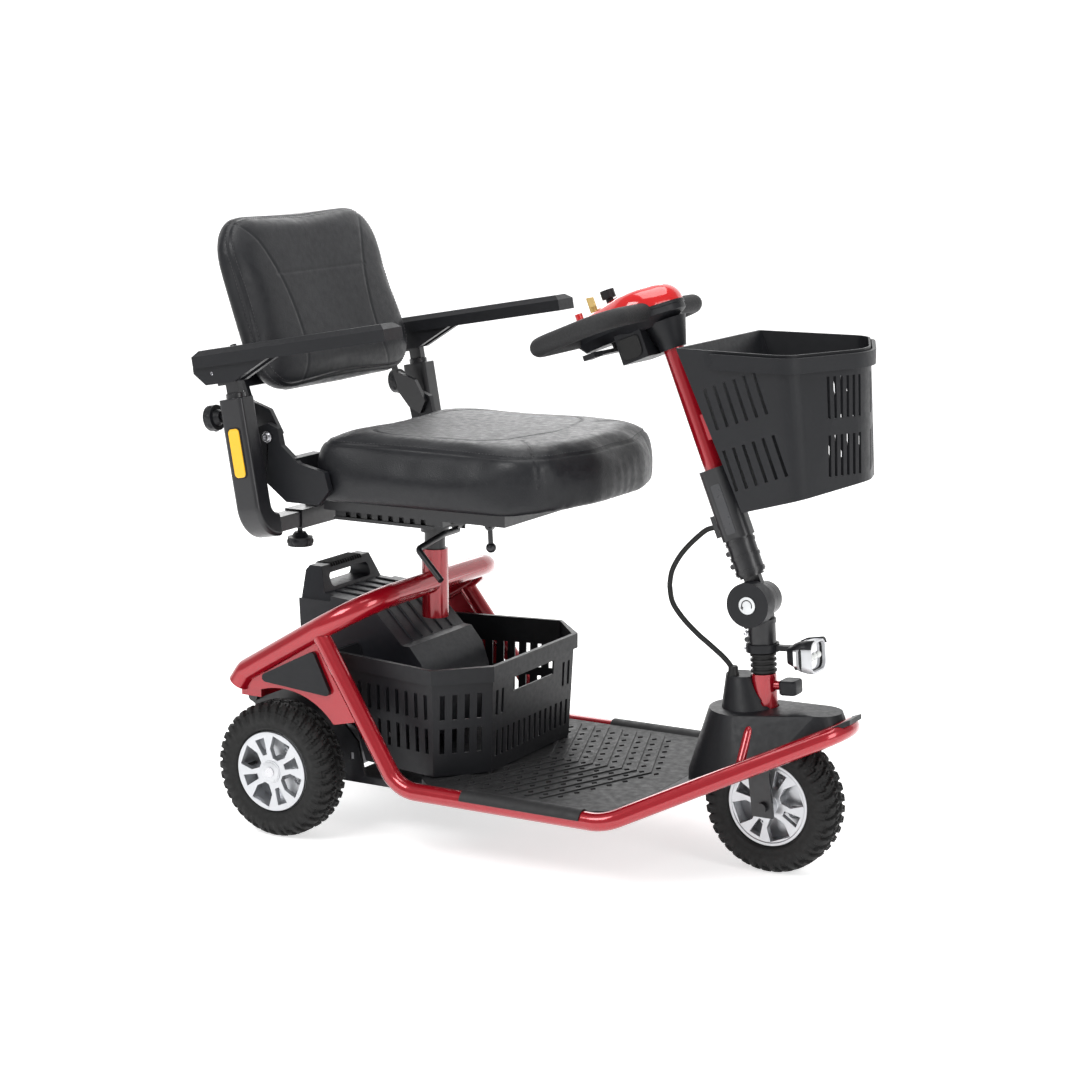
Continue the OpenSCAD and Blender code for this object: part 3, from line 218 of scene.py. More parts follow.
def make_materials():
    m = {}
    red = Shader("candy_red", (0.36, 0.003, 0.012), 0.22, metal=0.35, spread=0.10,
                 spread_scale=9, rough_spread=0.04, Coat_Weight=0.9, Coat_Roughness=0.04)
    flake = red.ramp(red.cells(2600), 0.0, 0.55)
    red.tint(red.ramp(red.cells(1500), 0.25, 0.0), (0.50, 0.012, 0.025))
    red.bump(flake, 0.00002, 0.35).bump(red.noise(140, 2), 0.00006, 0.25)
    m["red"] = red.mat
    steel = Shader("black_enamel", (0.008, 0.008, 0.010), 0.36, spread=0.2, rough_spread=0.07,
                   Coat_Weight=0.25, Coat_Roughness=0.25)
    steel.bump(steel.noise(900, 2), 0.00008, 0.5).bump(steel.noise(60, 3), 0.0001, 0.3)
    m["black_steel"] = steel.mat
    plastic = Shader("black_moulding", (0.0085, 0.009, 0.011), 0.44, spread=0.18,
                     rough_spread=0.06, Specular_IOR_Level=0.32)
    plastic.bump(plastic.cells(1500), 0.00008, 0.55).bump(plastic.noise(45, 3), 0.0002, 0.2)
    m["plastic"] = plastic.mat
    battery = Shader("battery_moulding", (0.013, 0.014, 0.018), 0.42, spread=0.12,
                     rough_spread=0.06, Specular_IOR_Level=0.35)
    battery.bump(battery.cells(1300), 0.0001, 0.6).bump(battery.noise(30, 3), 0.0003, 0.2)
    m["battery"] = battery.mat
    vinyl = Shader("black_vinyl", (0.0085, 0.009, 0.011), 0.42, spread=0.22, spread_scale=14,
                   rough_spread=0.08, Specular_IOR_Level=0.36)
    grain = vinyl.cells(620, "SMOOTH_F1")
    vinyl.bump(vinyl.noise(28, 4, 0.55, 0.6), 0.0005, 0.25)
    vinyl.bump(grain, 0.00028, 0.7).bump(vinyl.noise(1800, 2), 0.00006, 0.5)
    m["vinyl"] = vinyl.mat
    tyre = Shader("tyre_rubber", (0.010, 0.010, 0.010), 0.62, spread=0.25, spread_scale=25,
                  rough_spread=0.1, Specular_IOR_Level=0.3)
    tyre.bump(tyre.noise(700, 3), 0.00012, 0.6)
    m["tyre"] = tyre.mat
    rubber = Shader("soft_rubber", (0.010, 0.010, 0.010), 0.52, spread=0.2, rough_spread=0.08,
                    Specular_IOR_Level=0.35)
    rubber.bump(rubber.noise(1200, 2), 0.00008, 0.6)
    m["rubber"] = rubber.mat
    mat_rubber = Shader("deck_rubber", (0.013, 0.013, 0.014), 0.58, spread=0.2,
                        spread_scale=12, rough_spread=0.1)
    mat_rubber.bump(mat_rubber.cells(900), 0.00012, 0.6)
    m["deck"] = mat_rubber.mat
    foam = Shader("grip_foam", (0.011, 0.011, 0.012), 0.72, spread=0.25, spread_scale=40,
                  rough_spread=0.06)
    foam.bump(foam.cells(420), 0.0005, 0.7).bump(foam.noise(1500, 2), 0.0001, 0.5)
    m["foam"] = foam.mat
    rim = Shader("rim_silver", (0.56, 0.57, 0.59), 0.34, metal=0.85, spread=0.06,
                 rough_spread=0.05, Coat_Weight=0.3, Coat_Roughness=0.15)
    rim.bump(rim.cells(1800), 0.00004, 0.5)
    m["rim"] = rim.mat
    metal = Shader("bright_steel", (0.58, 0.58, 0.60), 0.28, metal=1.0, spread=0.08,
                   rough_spread=0.08)
    metal.bump(metal.noise(600, 2), 0.00004, 0.4)
    m["steel"] = metal.mat
    chrome = Shader("chrome", (0.72, 0.72, 0.74), 0.08, metal=1.0, spread=0.03,
                    rough_spread=0.03)
    m["chrome"] = chrome.mat
    cast = Shader("cast_housing", (0.20, 0.20, 0.21), 0.5, metal=0.6, spread=0.15,
                  rough_spread=0.1)
    cast.bump(cast.noise(500, 4), 0.0003, 0.7)
    m["cast"] = cast.mat
    gloss = Shader("gloss_red", (0.58, 0.003, 0.004), 0.14, spread=0.05, spread_scale=8,
                   rough_spread=0.03, Coat_Weight=0.8, Coat_Roughness=0.03)
    gloss.bump(gloss.noise(90, 2), 0.00008, 0.15)
    m["gloss_red"] = gloss.mat
    gold = Shader("gold_metal", (0.66, 0.46, 0.16), 0.3, metal=1.0, spread=0.1,
                  rough_spread=0.08)
    gold.bump(gold.noise(900, 2), 0.00005, 0.5)
    m["gold"] = gold.mat
    yellow = Shader("yellow_moulding", (0.78, 0.50, 0.03), 0.35, spread=0.08,
                    rough_spread=0.05)
    yellow.bump(yellow.cells(1200), 0.00006, 0.4)
    m["yellow"] = yellow.mat
    thread = Shader("thread", (0.045, 0.045, 0.048), 0.6, spread=0.3, spread_scale=60,
                    rough_spread=0.1)
    thread.bump(thread.noise(4000, 2), 0.00005, 0.8)
    m["thread"] = thread.mat
    cap = Shader("cap_silver", (0.62, 0.63, 0.65), 0.4, metal=0.5, spread=0.04,
                 rough_spread=0.05)
    cap.bump(cap.noise(700, 2), 0.00004, 0.4)
    m["cap"] = cap.mat
    white = Shader("label_white", (0.74, 0.76, 0.77), 0.4, spread=0.04, rough_spread=0.05)
    white.bump(white.noise(800, 2), 0.00003, 0.3)
    m["label_white"] = white.mat
    dark = Shader("label_dark", (0.045, 0.046, 0.05), 0.3, spread=0.1, rough_spread=0.05)
    dark.bump(dark.noise(500, 2), 0.00003, 0.3)
    m["label_dark"] = dark.mat
    led = Shader("lamp_led", (0.80, 0.82, 0.80), 0.12, spread=0.05, rough_spread=0.04,
                 Coat_Weight=0.8)
    m["lamp_led"] = led.mat
    amber = Shader("reflector_amber", (0.92, 0.50, 0.01), 0.22, spread=0.06, rough_spread=0.04,
                   Coat_Weight=0.6, Coat_Roughness=0.08)
    amber.bump(amber.cells(420, "F1", 0.0), 0.0004, 0.8)
    m["reflector"] = amber.mat
    return m


M = make_materials()
LOOK = {
    "red": ["seat_hoop", "deck_rail", "front_frame", "cross_tubes", "stem_tube"],
    "black_steel": [
        "rear_chassis", "swivel_plate", "swivel_lever", "slide_lever", "seat_post", "seat_pan",
        "backrest_frame", "fork", "arm_receiver", "arm_upright_left", "arm_upright_right",
        "arm_post_left", "arm_post_right", "lower_clamp", "upper_clamp", "drive_motor",
    ],
    "plastic": [
        "badge_plates", "front_cover", "wheel_shroud", "floor_basket", "front_basket",
        "basket_handle", "clamp_knob", "headlight", "tiller_shell", "speed_dial",
        "throttle_paddle", "arm_pad_left", "arm_pad_right", "hinge_brackets",
        "width_knob_left", "width_knob_right", "height_knob_left", "height_knob_right",
    ],
    "deck": ["floor_mat"],
    "rubber": ["bellows", "cable"],
    "battery": ["battery_case"],
    "vinyl": ["seat_cushion", "backrest_cushion"],
    "foam": ["grip_loops"],
    "tyre": ["rear_tyre_left", "rear_tyre_right", "front_tyre"],
    "rim": ["rear_rim_left", "rear_rim_right", "front_rim"],
    "steel": ["rear_axle_left", "rear_axle_right"],
    "cast": ["transaxle"],
    "gloss_red": ["tiller_cover", "horn_button"],
    "gold": ["ignition_key"],
    "yellow": ["freewheel_lever"],
    "chrome": ["lamp_lens"],
}


def finish_node(obj, material, bevel=0.0008, angle=35):
    """Gives a CAD node its material, smooth shading and softened edges."""
    obj.data.materials.clear()
    obj.data.materials.append(material)
    for p in obj.data.polygons:
        p.use_smooth = True
    weld = obj.modifiers.new("weld", "WELD")
    weld.merge_threshold = 0.00002
    if bevel:
        soft = obj.modifiers.new("edges", "BEVEL")
        soft.width = bevel
        soft.segments = 2
        soft.limit_method = "ANGLE"
        soft.angle_limit = math.radians(angle)
        soft.harden_normals = False
    smooth = obj.modifiers.new("normals", "WEIGHTED_NORMAL")
    smooth.keep_sharp = True


for look, names in LOOK.items():
    for node_name in names:
        finish_node(NODES[node_name], M[look])

# Paper sweep: flat under the scooter, then curving up behind it
floor_mesh = bpy.data.meshes.new("floor")
ahead = Vector((-math.sin(azimuth), math.cos(azimuth), 0))
aside = Vector((math.cos(azimuth), math.sin(azimuth), 0))
FLAT_END, CURVE_R, PAPER_TOP, PAPER_HALF_W = 3.2, 3, 9, 14
sweep_line = [(-9, 0), (FLAT_END, 0)]
sweep_line += [(FLAT_END + CURVE_R * math.sin(t), CURVE_R - CURVE_R * math.cos(t))
               for t in np.linspace(0.08, 1.5708, 20)]
sweep_line += [(FLAT_END + CURVE_R, PAPER_TOP)]
floor_mesh.from_pydata(
    [ahead * d + aside * w + Vector((0, 0, z))
     for d, z in sweep_line for w in (-PAPER_HALF_W, PAPER_HALF_W)], [],
    [(2 * i, 2 * i + 1, 2 * i + 3, 2 * i + 2) for i in range(len(sweep_line) - 1)])
for p in floor_mesh.polygons:
    p.use_smooth = True
floor = bpy.data.objects.new("floor", floor_mesh)
scene.collection.objects.link(floor)
floor_look = Shader("floor_paper", (0.86, 0.86, 0.86), 0.7, spread=0.01, spread_scale=2)
floor_look.bsdf.inputs["Emission Color"].default_value = (1, 1, 1, 1)
floor_look.bsdf.inputs["Emission Strength"].default_value = 0.62
floor_mesh.materials.append(floor_look.mat)


# ------------------------------------------------------------------ mesh tools
def link_mesh(name, verts, faces, material, sharp=40):
    mesh = bpy.data.meshes.new(name)
    mesh.from_pydata([tuple(v) for v in verts], [], faces)
    mesh.validate()
    mesh.materials.append(material)
    for p in mesh.polygons:
        p.use_smooth = True
    mesh.set_sharp_from_angle(angle=math.radians(sharp))
    obj = bpy.data.objects.new(name, mesh)
    scene.collection.objects.link(obj)
    return obj


def settle(obj, body, replaces=()):
    """Fixes a finished piece to its body and hides the parts it replaces."""
    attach(obj, body)
    if replaces:
        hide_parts(*replaces)
    return obj


def piece(name, parts, material, body, replaces=(), sharp=40, bevel=0.0):
    """One object from several (verts, faces) parts."""
    verts, faces = merged(parts)
    obj = link_mesh(name, verts, faces, material, sharp)
    if bevel:
        edge = obj.modifiers.new("edges", "BEVEL")
        edge.width = bevel
        edge.segments = 3
        edge.limit_method = "ANGLE"
        edge.angle_limit = math.radians(30)
    return settle(obj, body, replaces)


def merged(parts):
    verts, faces = [], []
    for v, f in parts:
        start = len(verts)
        verts.extend(v)
        faces.extend([tuple(i + start for i in face) for face in f])
    return verts, faces


def placed(part, matrix):
    return [matrix @ Vector(v) for v in part[0]], part[1]


def loft(rings, close_ends=True):
    n = len(rings[0])
    verts = [v for ring in rings for v in ring]
    faces = []
    for i in range(len(rings) - 1):
        for k in range(n):
            j = (k + 1) % n
            faces.append((i * n + k, i * n + j, (i + 1) * n + j, (i + 1) * n + k))
    if close_ends:
        faces.append(tuple(reversed(range(n))))
        faces.append(tuple((len(rings) - 1) * n + k for k in range(n)))
    return verts, faces


def revolve(profile, n=40, wave=0.0, lobes=5):
    """Profile of (radius, height) pairs in millimetres round +Z, its rim waved for grip."""
    rings = []
    for r, z in profile:
        ring = []
        for k in range(n):
            a = 2 * math.pi * k / n
            rr = r * (1 + wave * math.cos(lobes * a)) if wave else r
            ring.append((rr * math.cos(a) * MM, rr * math.sin(a) * MM, z * MM))
        rings.append(ring)
    return loft(rings)


def slab(outline, z0, z1, chamfer=0.0):
    """Prism of an XY outline in millimetres, with chamfered rims."""
    c = Vector((sum(p[0] for p in outline), sum(p[1] for p in outline))) / len(outline)
    if sum(outline[i - 1][0] * outline[i][1] - outline[i][0] * outline[i - 1][1]
           for i in range(len(outline))) < 0:
        outline = outline[::-1]

    def ring(shrink, z):
        out = []
        for x, y in outline:
            d = Vector((x, y)) - c
            k = max(0.0, 1 - shrink / max(d.length, 1e-6))
            out.append(((c.x + d.x * k) * MM, (c.y + d.y * k) * MM, z * MM))
        return out

    rings = [ring(0, z0), ring(0, z1)]
    if chamfer:
        rings = [ring(chamfer, z0), ring(0, z0 + chamfer), ring(0, z1 - chamfer),
                 ring(chamfer, z1)]
    return loft(rings)


def sweep(points, radius, sides=12):
    """Round tube along points in metres. The radius may be one number or one per point."""
    points = [Vector(p) for p in points]
    radii = radius if isinstance(radius, (list, tuple)) else [radius] * len(points)
    side = None
    rings = []
    for i, p in enumerate(points):
        d = (points[min(i + 1, len(points) - 1)] - points[max(i - 1, 0)]).normalized()
        if side is None:
            side = d.orthogonal().normalized()
        side = (side - d * side.dot(d)).normalized()
        up = d.cross(side)
        rings.append([p + (side * math.cos(2 * math.pi * k / sides)
                           + up * math.sin(2 * math.pi * k / sides)) * radii[i]
                      for k in range(sides)])
    return loft(rings)


def smooth_path(points, steps=6):
    pts = [Vector(p) for p in points]
    out = []
    last = len(pts) - 1
    for i in range(last):
        a, b, c, d = pts[max(0, i - 1)], pts[i], pts[i + 1], pts[min(last, i + 2)]
        for k in range(steps):
            t = k / steps
            out.append(0.5 * (2 * b + (c - a) * t + (2 * a - 5 * b + 4 * c - d) * t * t
                              + (3 * b - a - 3 * c + d) * t ** 3))
    out.append(pts[-1])
    return out


def toward(point, normal, spin=0.0):
    """Matrix that puts +Z along normal at a point."""
    return (Matrix.Translation(Vector(point)) @ Vector(normal).to_track_quat("Z", "Y")
            .to_matrix().to_4x4() @ Matrix.Rotation(spin, 4, "Z"))


def on_side(base, place, side):
    """Matrix that lays a slab on the left (1) or right (-1) face of a leaning frame."""
    return (base @ Matrix.Translation(place) @ Matrix.Rotation(math.radians(-90 * side), 4, "X")
            @ Matrix.Scale(-side, 4, (0, 1, 0)))


def bolt_parts(r, h, washer=1.35):
    """Socket-head bolt on a washer, standing on its seat, in millimetres."""
    head = revolve([(0, h * 0.35), (r * 0.52, h * 0.35), (r * 0.56, h), (r * 0.9, h),
                    (r, h * 0.85), (r, 1.0), (0, 1.0)], 24)
    ring = revolve([(0, -1), (r * washer, -1), (r * washer, 0.6), (r * washer * 0.95, 1.1),
                    (0, 1.1)], 28)
    return [head, ring]


# ------------------------------------------------------------------ tyres
LUGS = 38
PER_LUG = 10


def tyre_part():
    """Tyre with blocks across the crown, its axle along local +Z.

    Each point of the section is (radius, place along the axle, kind): kind -1 is the plain
    side wall, 0 the round shoulder and 1 the flat crown.
    """
    bead, half, corner, outer, deep = 65.4, 33.0, 20.0, 108.3, 4.2
    path = [(bead, -27), (68, -30), (71, -31.2), (73, -30.6), (78, -32.4), (86, -33.0)]
    arc = [(outer - corner + corner * math.sin(t), -half + corner - corner * math.cos(t), 0)
           for t in np.linspace(0.12, math.pi / 2, 15)]
    flat = [(outer, a, 1) for a in np.linspace(-half + corner + 1.2, 0, 12)]
    left = [(r, a, -1) for r, a in path] + arc + flat
    whole = left + [(r, -a, k) for r, a, k in reversed(left[:-1])]
    n = LUGS * PER_LUG
    rings = []
    for step in range(n):
        phase = step / PER_LUG
        ang = 2 * math.pi * step / n
        ring = []
        for r, a, kind in whole:
            cut = 0.0
            if kind >= 0:
                # Blocks slant outwards, and the two sides are half a block apart
                across = abs(a) / half
                turn = phase + (0.5 if a > 0 else 0) + 0.75 * across
                skew = turn % 1
                block = skew < 0.60
                # Round grooves at the middle and between the two rows
                if across < 0.10 or 0.42 < across < 0.50:
                    block = False
                # Every other shoulder block is short
                if across > 0.80 and int(turn) % 2:
                    block = block and skew < 0.36
                # A fine slit in each inner block
                if 0.2 < across < 0.42 and 0.25 < skew < 0.36:
                    block = False
                cut = 0.0 if block else deep
                if across > 0.93:
                    cut *= 0.5
            if kind == 0:
                mid_r, mid_a = outer - corner, math.copysign(half - corner, a)
                d = Vector((r - mid_r, a - mid_a)).normalized()
                rr, aa = r - d.x * cut, a - d.y * cut
            else:
                rr, aa = r - cut, a
            ring.append((rr * math.cos(ang) * MM, rr * math.sin(ang) * MM, aa * MM))
        rings.append(ring)
    count = len(whole)
    verts = [v for ring in rings for v in ring]
    faces = []
    for i in range(n):
        j = (i + 1) % n
        for k in range(count - 1):
            faces.append((i * count + k, i * count + k + 1, j * count + k + 1, j * count + k))
        faces.append((i * count + count - 1, i * count, j * count, j * count + count - 1))
    return verts, faces


tyre_mesh = link_mesh("tyre_pattern", *tyre_part(), M["tyre"], sharp=50)
WHEELS = {
    "rear_left": (P(0, HALF_TRACK, 0), 1, "wheel_rear_left", "rear_tyre_left"),
    "rear_right": (P(0, -HALF_TRACK, 0), -1, "wheel_rear_right", "rear_tyre_right"),
    "front": (P(WHEELBASE, 0, 0), -1, "wheel_front", "front_tyre"),
}
for wheel, (place, side, body, node_name) in WHEELS.items():
    obj = bpy.data.objects.new("tread_" + wheel, tyre_mesh.data)
    scene.collection.objects.link(obj)
    obj.matrix_world = toward(place + Vector((0, 0, WHEEL_R)), (0, side, 0))
    settle(obj, body, [node_name])
bpy.data.objects.remove(tyre_mesh)

# Hub caps, wheel bolts and valve stems
for wheel, (place, side, body, node_name) in WHEELS.items():
    centre = place + Vector((0, 0, WHEEL_R))
    at = toward(centre, (0, side, 0), 0.38)
    bolts = []
    for k in range(4):
        a = math.radians(45 + 90 * k)
        spot = at @ Matrix.Translation((0.036 * math.cos(a), 0.036 * math.sin(a), 0.0))
        stud = revolve([(0, -2), (9.5, -2), (9.5, 2), (7, 4), (0, 4)], 24)
        bolts += [placed(stud, spot)]
        bolts += [placed(p, spot @ Matrix.Translation((0, 0, 0.004))) for p in bolt_parts(5, 5)]
    web = revolve([(20, -8), (60, -8), (60, -4), (50, -1), (20, 0)], 48)
    bolts.append(placed(web, at))
    piece(f"wheel_bolts_{wheel}", bolts, M["rim"], body)
    valve = [placed(revolve([(0, 0), (3, 0), (2.6, 10), (3.4, 11), (3.4, 17), (0, 18)], 16),
                    at @ Matrix.Rotation(2.75, 4, "Z") @ Matrix.Translation((0.052, 0, 0)))]
    piece(f"valve_{wheel}", valve, M["rubber"], body)
    if wheel != "front":
        out = HUB_OUT
        cap = revolve([(0, out + 3.6), (12, out + 3.4), (15.5, out + 2.6), (16, out + 1.5),
                       (17.5, out + 1.5), (18.2, out), (18.2, out - 4), (0, out - 4)], 48)
        piece(f"hub_cap_{wheel}", [placed(cap, at)], M["cap"], body)

# ------------------------------------------------------------------ cushions
SMOOTH_PASSES = 14


def inflate(obj, pressure, cap, frames=20, voxel=0.0055, hold=None):
    """Swells a closed mesh as cloth under pressure, with its base pinned."""
    copy = bpy.data.objects.new(obj.name + "_sim", obj.data.copy())
    scene.collection.objects.link(copy)
    remesh = copy.modifiers.new("remesh", "REMESH")
    remesh.mode = "VOXEL"
    remesh.voxel_size = voxel
    depsgraph = bpy.context.evaluated_depsgraph_get()
    dense = bpy.data.meshes.new_from_object(copy.evaluated_get(depsgraph))
    copy.modifiers.clear()
    copy.data = dense
    rest = np.array([v.co for v in dense.vertices])
    group = copy.vertex_groups.new(name="held")
    if hold is not None:
        for i in np.nonzero(hold(rest))[0]:
            group.add([int(i)], 1.0, "REPLACE")
    cloth = copy.modifiers.new("cloth", "CLOTH")
    cloth.settings.quality = 5
    cloth.settings.mass = 0.3
    cloth.settings.use_pressure = True
    cloth.settings.uniform_pressure_force = pressure
    cloth.settings.effector_weights.gravity = 0
    cloth.settings.tension_stiffness = 25
    cloth.settings.compression_stiffness = 8
    cloth.settings.shear_stiffness = 8
    cloth.settings.bending_stiffness = 3.0
    cloth.settings.vertex_group_mass = "held"
    cloth.point_cache.frame_start = 1
    cloth.point_cache.frame_end = frames
    for f in range(1, frames + 1):
        scene.frame_set(f)
    depsgraph = bpy.context.evaluated_depsgraph_get()
    swollen = copy.evaluated_get(depsgraph).to_mesh()
    now = np.array([v.co for v in swollen.vertices])
    copy.modifiers.clear()
    step = now - rest
    length = np.linalg.norm(step, axis=1, keepdims=True)
    step *= np.minimum(1, cap / np.maximum(length, 1e-9))
    dense.vertices.foreach_set("co", (rest + step).ravel())
    scene.frame_set(1)
    bm = bmesh.new()
    bm.from_mesh(dense)
    for _ in range(SMOOTH_PASSES):
        bmesh.ops.smooth_vert(bm, verts=bm.verts, factor=0.5, use_axis_x=True,
                              use_axis_y=True, use_axis_z=True)
    bm.to_mesh(dense)
    bm.free()
    sub = copy.modifiers.new("sub", "SUBSURF")
    sub.levels = sub.render_levels = 1
    depsgraph = bpy.context.evaluated_depsgraph_get()
    obj.data = bpy.data.meshes.new_from_object(copy.evaluated_get(depsgraph))
    bpy.data.objects.remove(copy)
    obj.modifiers.clear()


def groove(obj, seams, depth, width):
    """Sinks the surface along seam lines, which are point lists in metres."""
    points = [p for seam in seams for p in seam]
    tree = KDTree(len(points))
    for i, p in enumerate(points):
        tree.insert(p, i)
    tree.balance()
    mesh = obj.data
    normals = [v.normal.copy() for v in mesh.vertices]
    for v, n in zip(mesh.vertices, normals):
        _, _, d = tree.find(v.co)
        if d < width * 3:
            v.co -= n * depth * math.exp(-(d / width) ** 2)
    mesh.update()


def on_surface(obj, points, centre_of):
    """Points moved to the surface of obj along rays from outside to centre_of(point)."""
    depsgraph = bpy.context.evaluated_depsgraph_get()
    tree = BVHTree.FromObject(obj, depsgraph)
    out = []
    for p in points:
        p = Vector(p)
        inward = (centre_of(p) - p).normalized()
        hit, normal, _, _ = tree.ray_cast(p - inward * 0.2, inward)
        if hit is not None:
            out.append((hit, normal))
    return out


def stitches(name, rows, material, body, length=0.0032, gap=0.0022, r=0.00045):
    """Small thread loops along rows of (point, normal) pairs."""
    parts = []
    for row in rows:
        walked, due = 0.0, 0.0
        for (a, na), (b, _) in zip(row, row[1:]):
            d = b - a
            if d.length < 1e-7 or d.length > 0.03:
                continue
            walked += d.length
            if walked < due:
                continue
            due = walked + length + gap
            d.normalize()
            lift = na * r * 0.5
            parts.append(sweep([a + lift - na * r, a + lift + d * length * 0.25 + na * r * 0.6,
                                a + lift + d * length * 0.75 + na * r * 0.6,
                                a + lift + d * length - na * r], r, 5))
    return piece(name, parts, material, body)


def resample(points, step=0.0012):
    out = [Vector(points[0])]
    for a, b in zip(points, points[1:]):
        a, b = Vector(a), Vector(b)
        n = max(1, int((b - a).length / step))
        out += [a.lerp(b, (k + 1) / n) for k in range(n)]
    return out


def rounded_outline(corners, steps=10):
    """Closed outline through (x, y, radius) corners, counter-clockwise, in millimetres."""
    pts = []
    n = len(corners)
    for i in range(n):
        x, y, r = corners[i]
        p = Vector((x, y))
        a = (Vector(corners[i - 1][:2]) - p).normalized()
        b = (Vector(corners[(i + 1) % n][:2]) - p).normalized()
        half = math.acos(max(-1, min(1, a.dot(b)))) / 2
        if r <= 0 or half > 1.55:
            pts.append(p)
            continue
        t = r / math.tan(half)
        c = p + (a + b).normalized() * (r / math.sin(half))
        s, e = p + a * t - c, p + b * t - c
        s0 = math.atan2(s.y, s.x)
        turn = (math.atan2(e.y, e.x) - s0 + math.pi) % (2 * math.pi) - math.pi
        for k in range(steps + 1):
            w = s0 + turn * k / steps
            pts.append(c + Vector((math.cos(w), math.sin(w))) * r)
    return pts


SEAT_LO, SEAT_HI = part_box("seat_cushion")
sx0, sx1 = (SEAT_LO.x - AXLE_X) / MM, (SEAT_HI.x - AXLE_X) / MM
sy = SEAT_HI.y / MM
sz0, sz1 = SEAT_LO.z / MM, SEAT_HI.z / MM


def seat_outline(inset):
    return rounded_outline([
        (sx0 + inset, -sy + inset, 40), (sx1 - 58, -sy + inset, 86 - inset / 2),
        (sx1 - inset, -70, 60), (sx1 - inset, 70, 60), (sx1 - 58, sy - inset, 86 - inset / 2),
        (sx0 + inset, sy - inset, 40),
    ])


def make_seat():
    def ring(inset, z, dip=0.0):
        out = []
        for p in seat_outline(inset):
            # The underside rises towards the front
            lift = dip * max(0.0, (p.x - sx0 - 250) / (sx1 - sx0 - 250)) ** 2
            out.append(P(p.x, p.y, z + lift))
        return out

    levels = [(30, sz0 - 9, 16), (10, sz0 - 9, 15), (4.5, sz0 - 3, 12), (4, sz0 + 40, 3),
              (6, sz1 - 30, 0), (8, sz1 - 22, 0), (16, sz1 - 13, 0), (40, sz1 - 9, 0),
              (90, sz1 - 10, 0)]
    part = loft([ring(*level) for level in levels])
    obj = link_mesh("seat_pad", *part, M["vinyl"])
    base = SEAT_LO.z + 0.012
    inflate(obj, 2.0, 0.007, hold=lambda co: co[:, 2] < base)
    # Crown of the sitting surface, with a shallow dish behind the middle
    mid = Vector(((SEAT_LO.x + SEAT_HI.x) / 2, 0, 0))
    half = (SEAT_HI - SEAT_LO) / 2
    top = SEAT_HI.z
    crown_band, front_folds = 0.030, 0.55
    for v in obj.data.vertices:
        if v.co.z > top - crown_band:
            u = (v.co.x - mid.x) / half.x
            w = v.co.y / half.y
            near = max(0, 1 - u * u) * max(0, 1 - w * w)
            dish = math.exp(-((u + 0.25) / 0.45) ** 2 - (w / 0.55) ** 2)
            rim = min(1, (v.co.z - top + crown_band) / 0.02)
            v.co.z += rim * (0.006 * near - 0.010 * dish)
        # Soft upright folds low on the front
        if v.co.x > mid.x + half.x * front_folds and v.co.z < top - crown_band:
            level = 1 - (v.co.z - SEAT_LO.z) / (half.z * 1.7)
            fold = math.sin(v.co.y * 210 + 2.2 * math.sin(v.co.y * 37)) * level
            v.co.x += 0.0004 * fold
            v.co.y += 0.0002 * fold
    seam_top = [P(p.x, p.y, sz1 - 17) for p in seat_outline(7)]
    seam_top = resample(seam_top + seam_top[:1])
    inner = rounded_outline([
        (sx0 + 64, -sy + 62, 60), (sx1 - 150, -sy + 62, 60), (sx1 - 112, 0, 160),
        (sx1 - 150, sy - 62, 60), (sx0 + 64, sy - 62, 60)])
    seam_in = resample([P(p.x, p.y, sz1 + 40) for p in inner + inner[:1]])
    across = []
    for s in (-1, 1):
        across.append(resample([P(sx1 - 118, s * (sy - 96), sz1 + 40),
                                P(sx1 - 66, s * (sy - 40), sz1 + 40),
                                P(sx1 - 40, s * (sy - 20), sz1 + 40)]))
    centre = P((sx0 + sx1) / 2, 0, (sz0 + sz1) / 2)

    def to_spine(p):
        return Vector((centre.x, p.y * 0.5, p.z))

    rows_side = on_surface(obj, seam_top, to_spine)
    rows_in = [on_surface(obj, s, lambda p: p - Vector((0, 0, 1))) for s in [seam_in] + across]
    lines = [[p for p, _ in rows_side]] + [[p for p, _ in row] for row in rows_in]
    groove(obj, lines, 0.0016, 0.0022)
    rows_side = on_surface(obj, [p + Vector((0, 0, 0.0035)) for p in seam_top], to_spine)
    stitches("seat_stitching", [rows_side], M["thread"], "seat")
    obj.data.polygons.foreach_set("use_smooth", [True] * len(obj.data.polygons))
    settle(obj, "seat", ["seat_cushion"])


make_seat()

BACK_T, BACK_H, BACK_W = 54.0, 284.0, 213.0
BACK_LOW, BACK_FRONT = 66.0, 34.0
BACK_MID = BACK_LOW + BACK_H / 2


def back_point(x, y, z):
    """Point in the backrest's frame: x forward, z up the cushion, in millimetres."""
    return BACK @ Vector((x * MM, y * MM, z * MM))


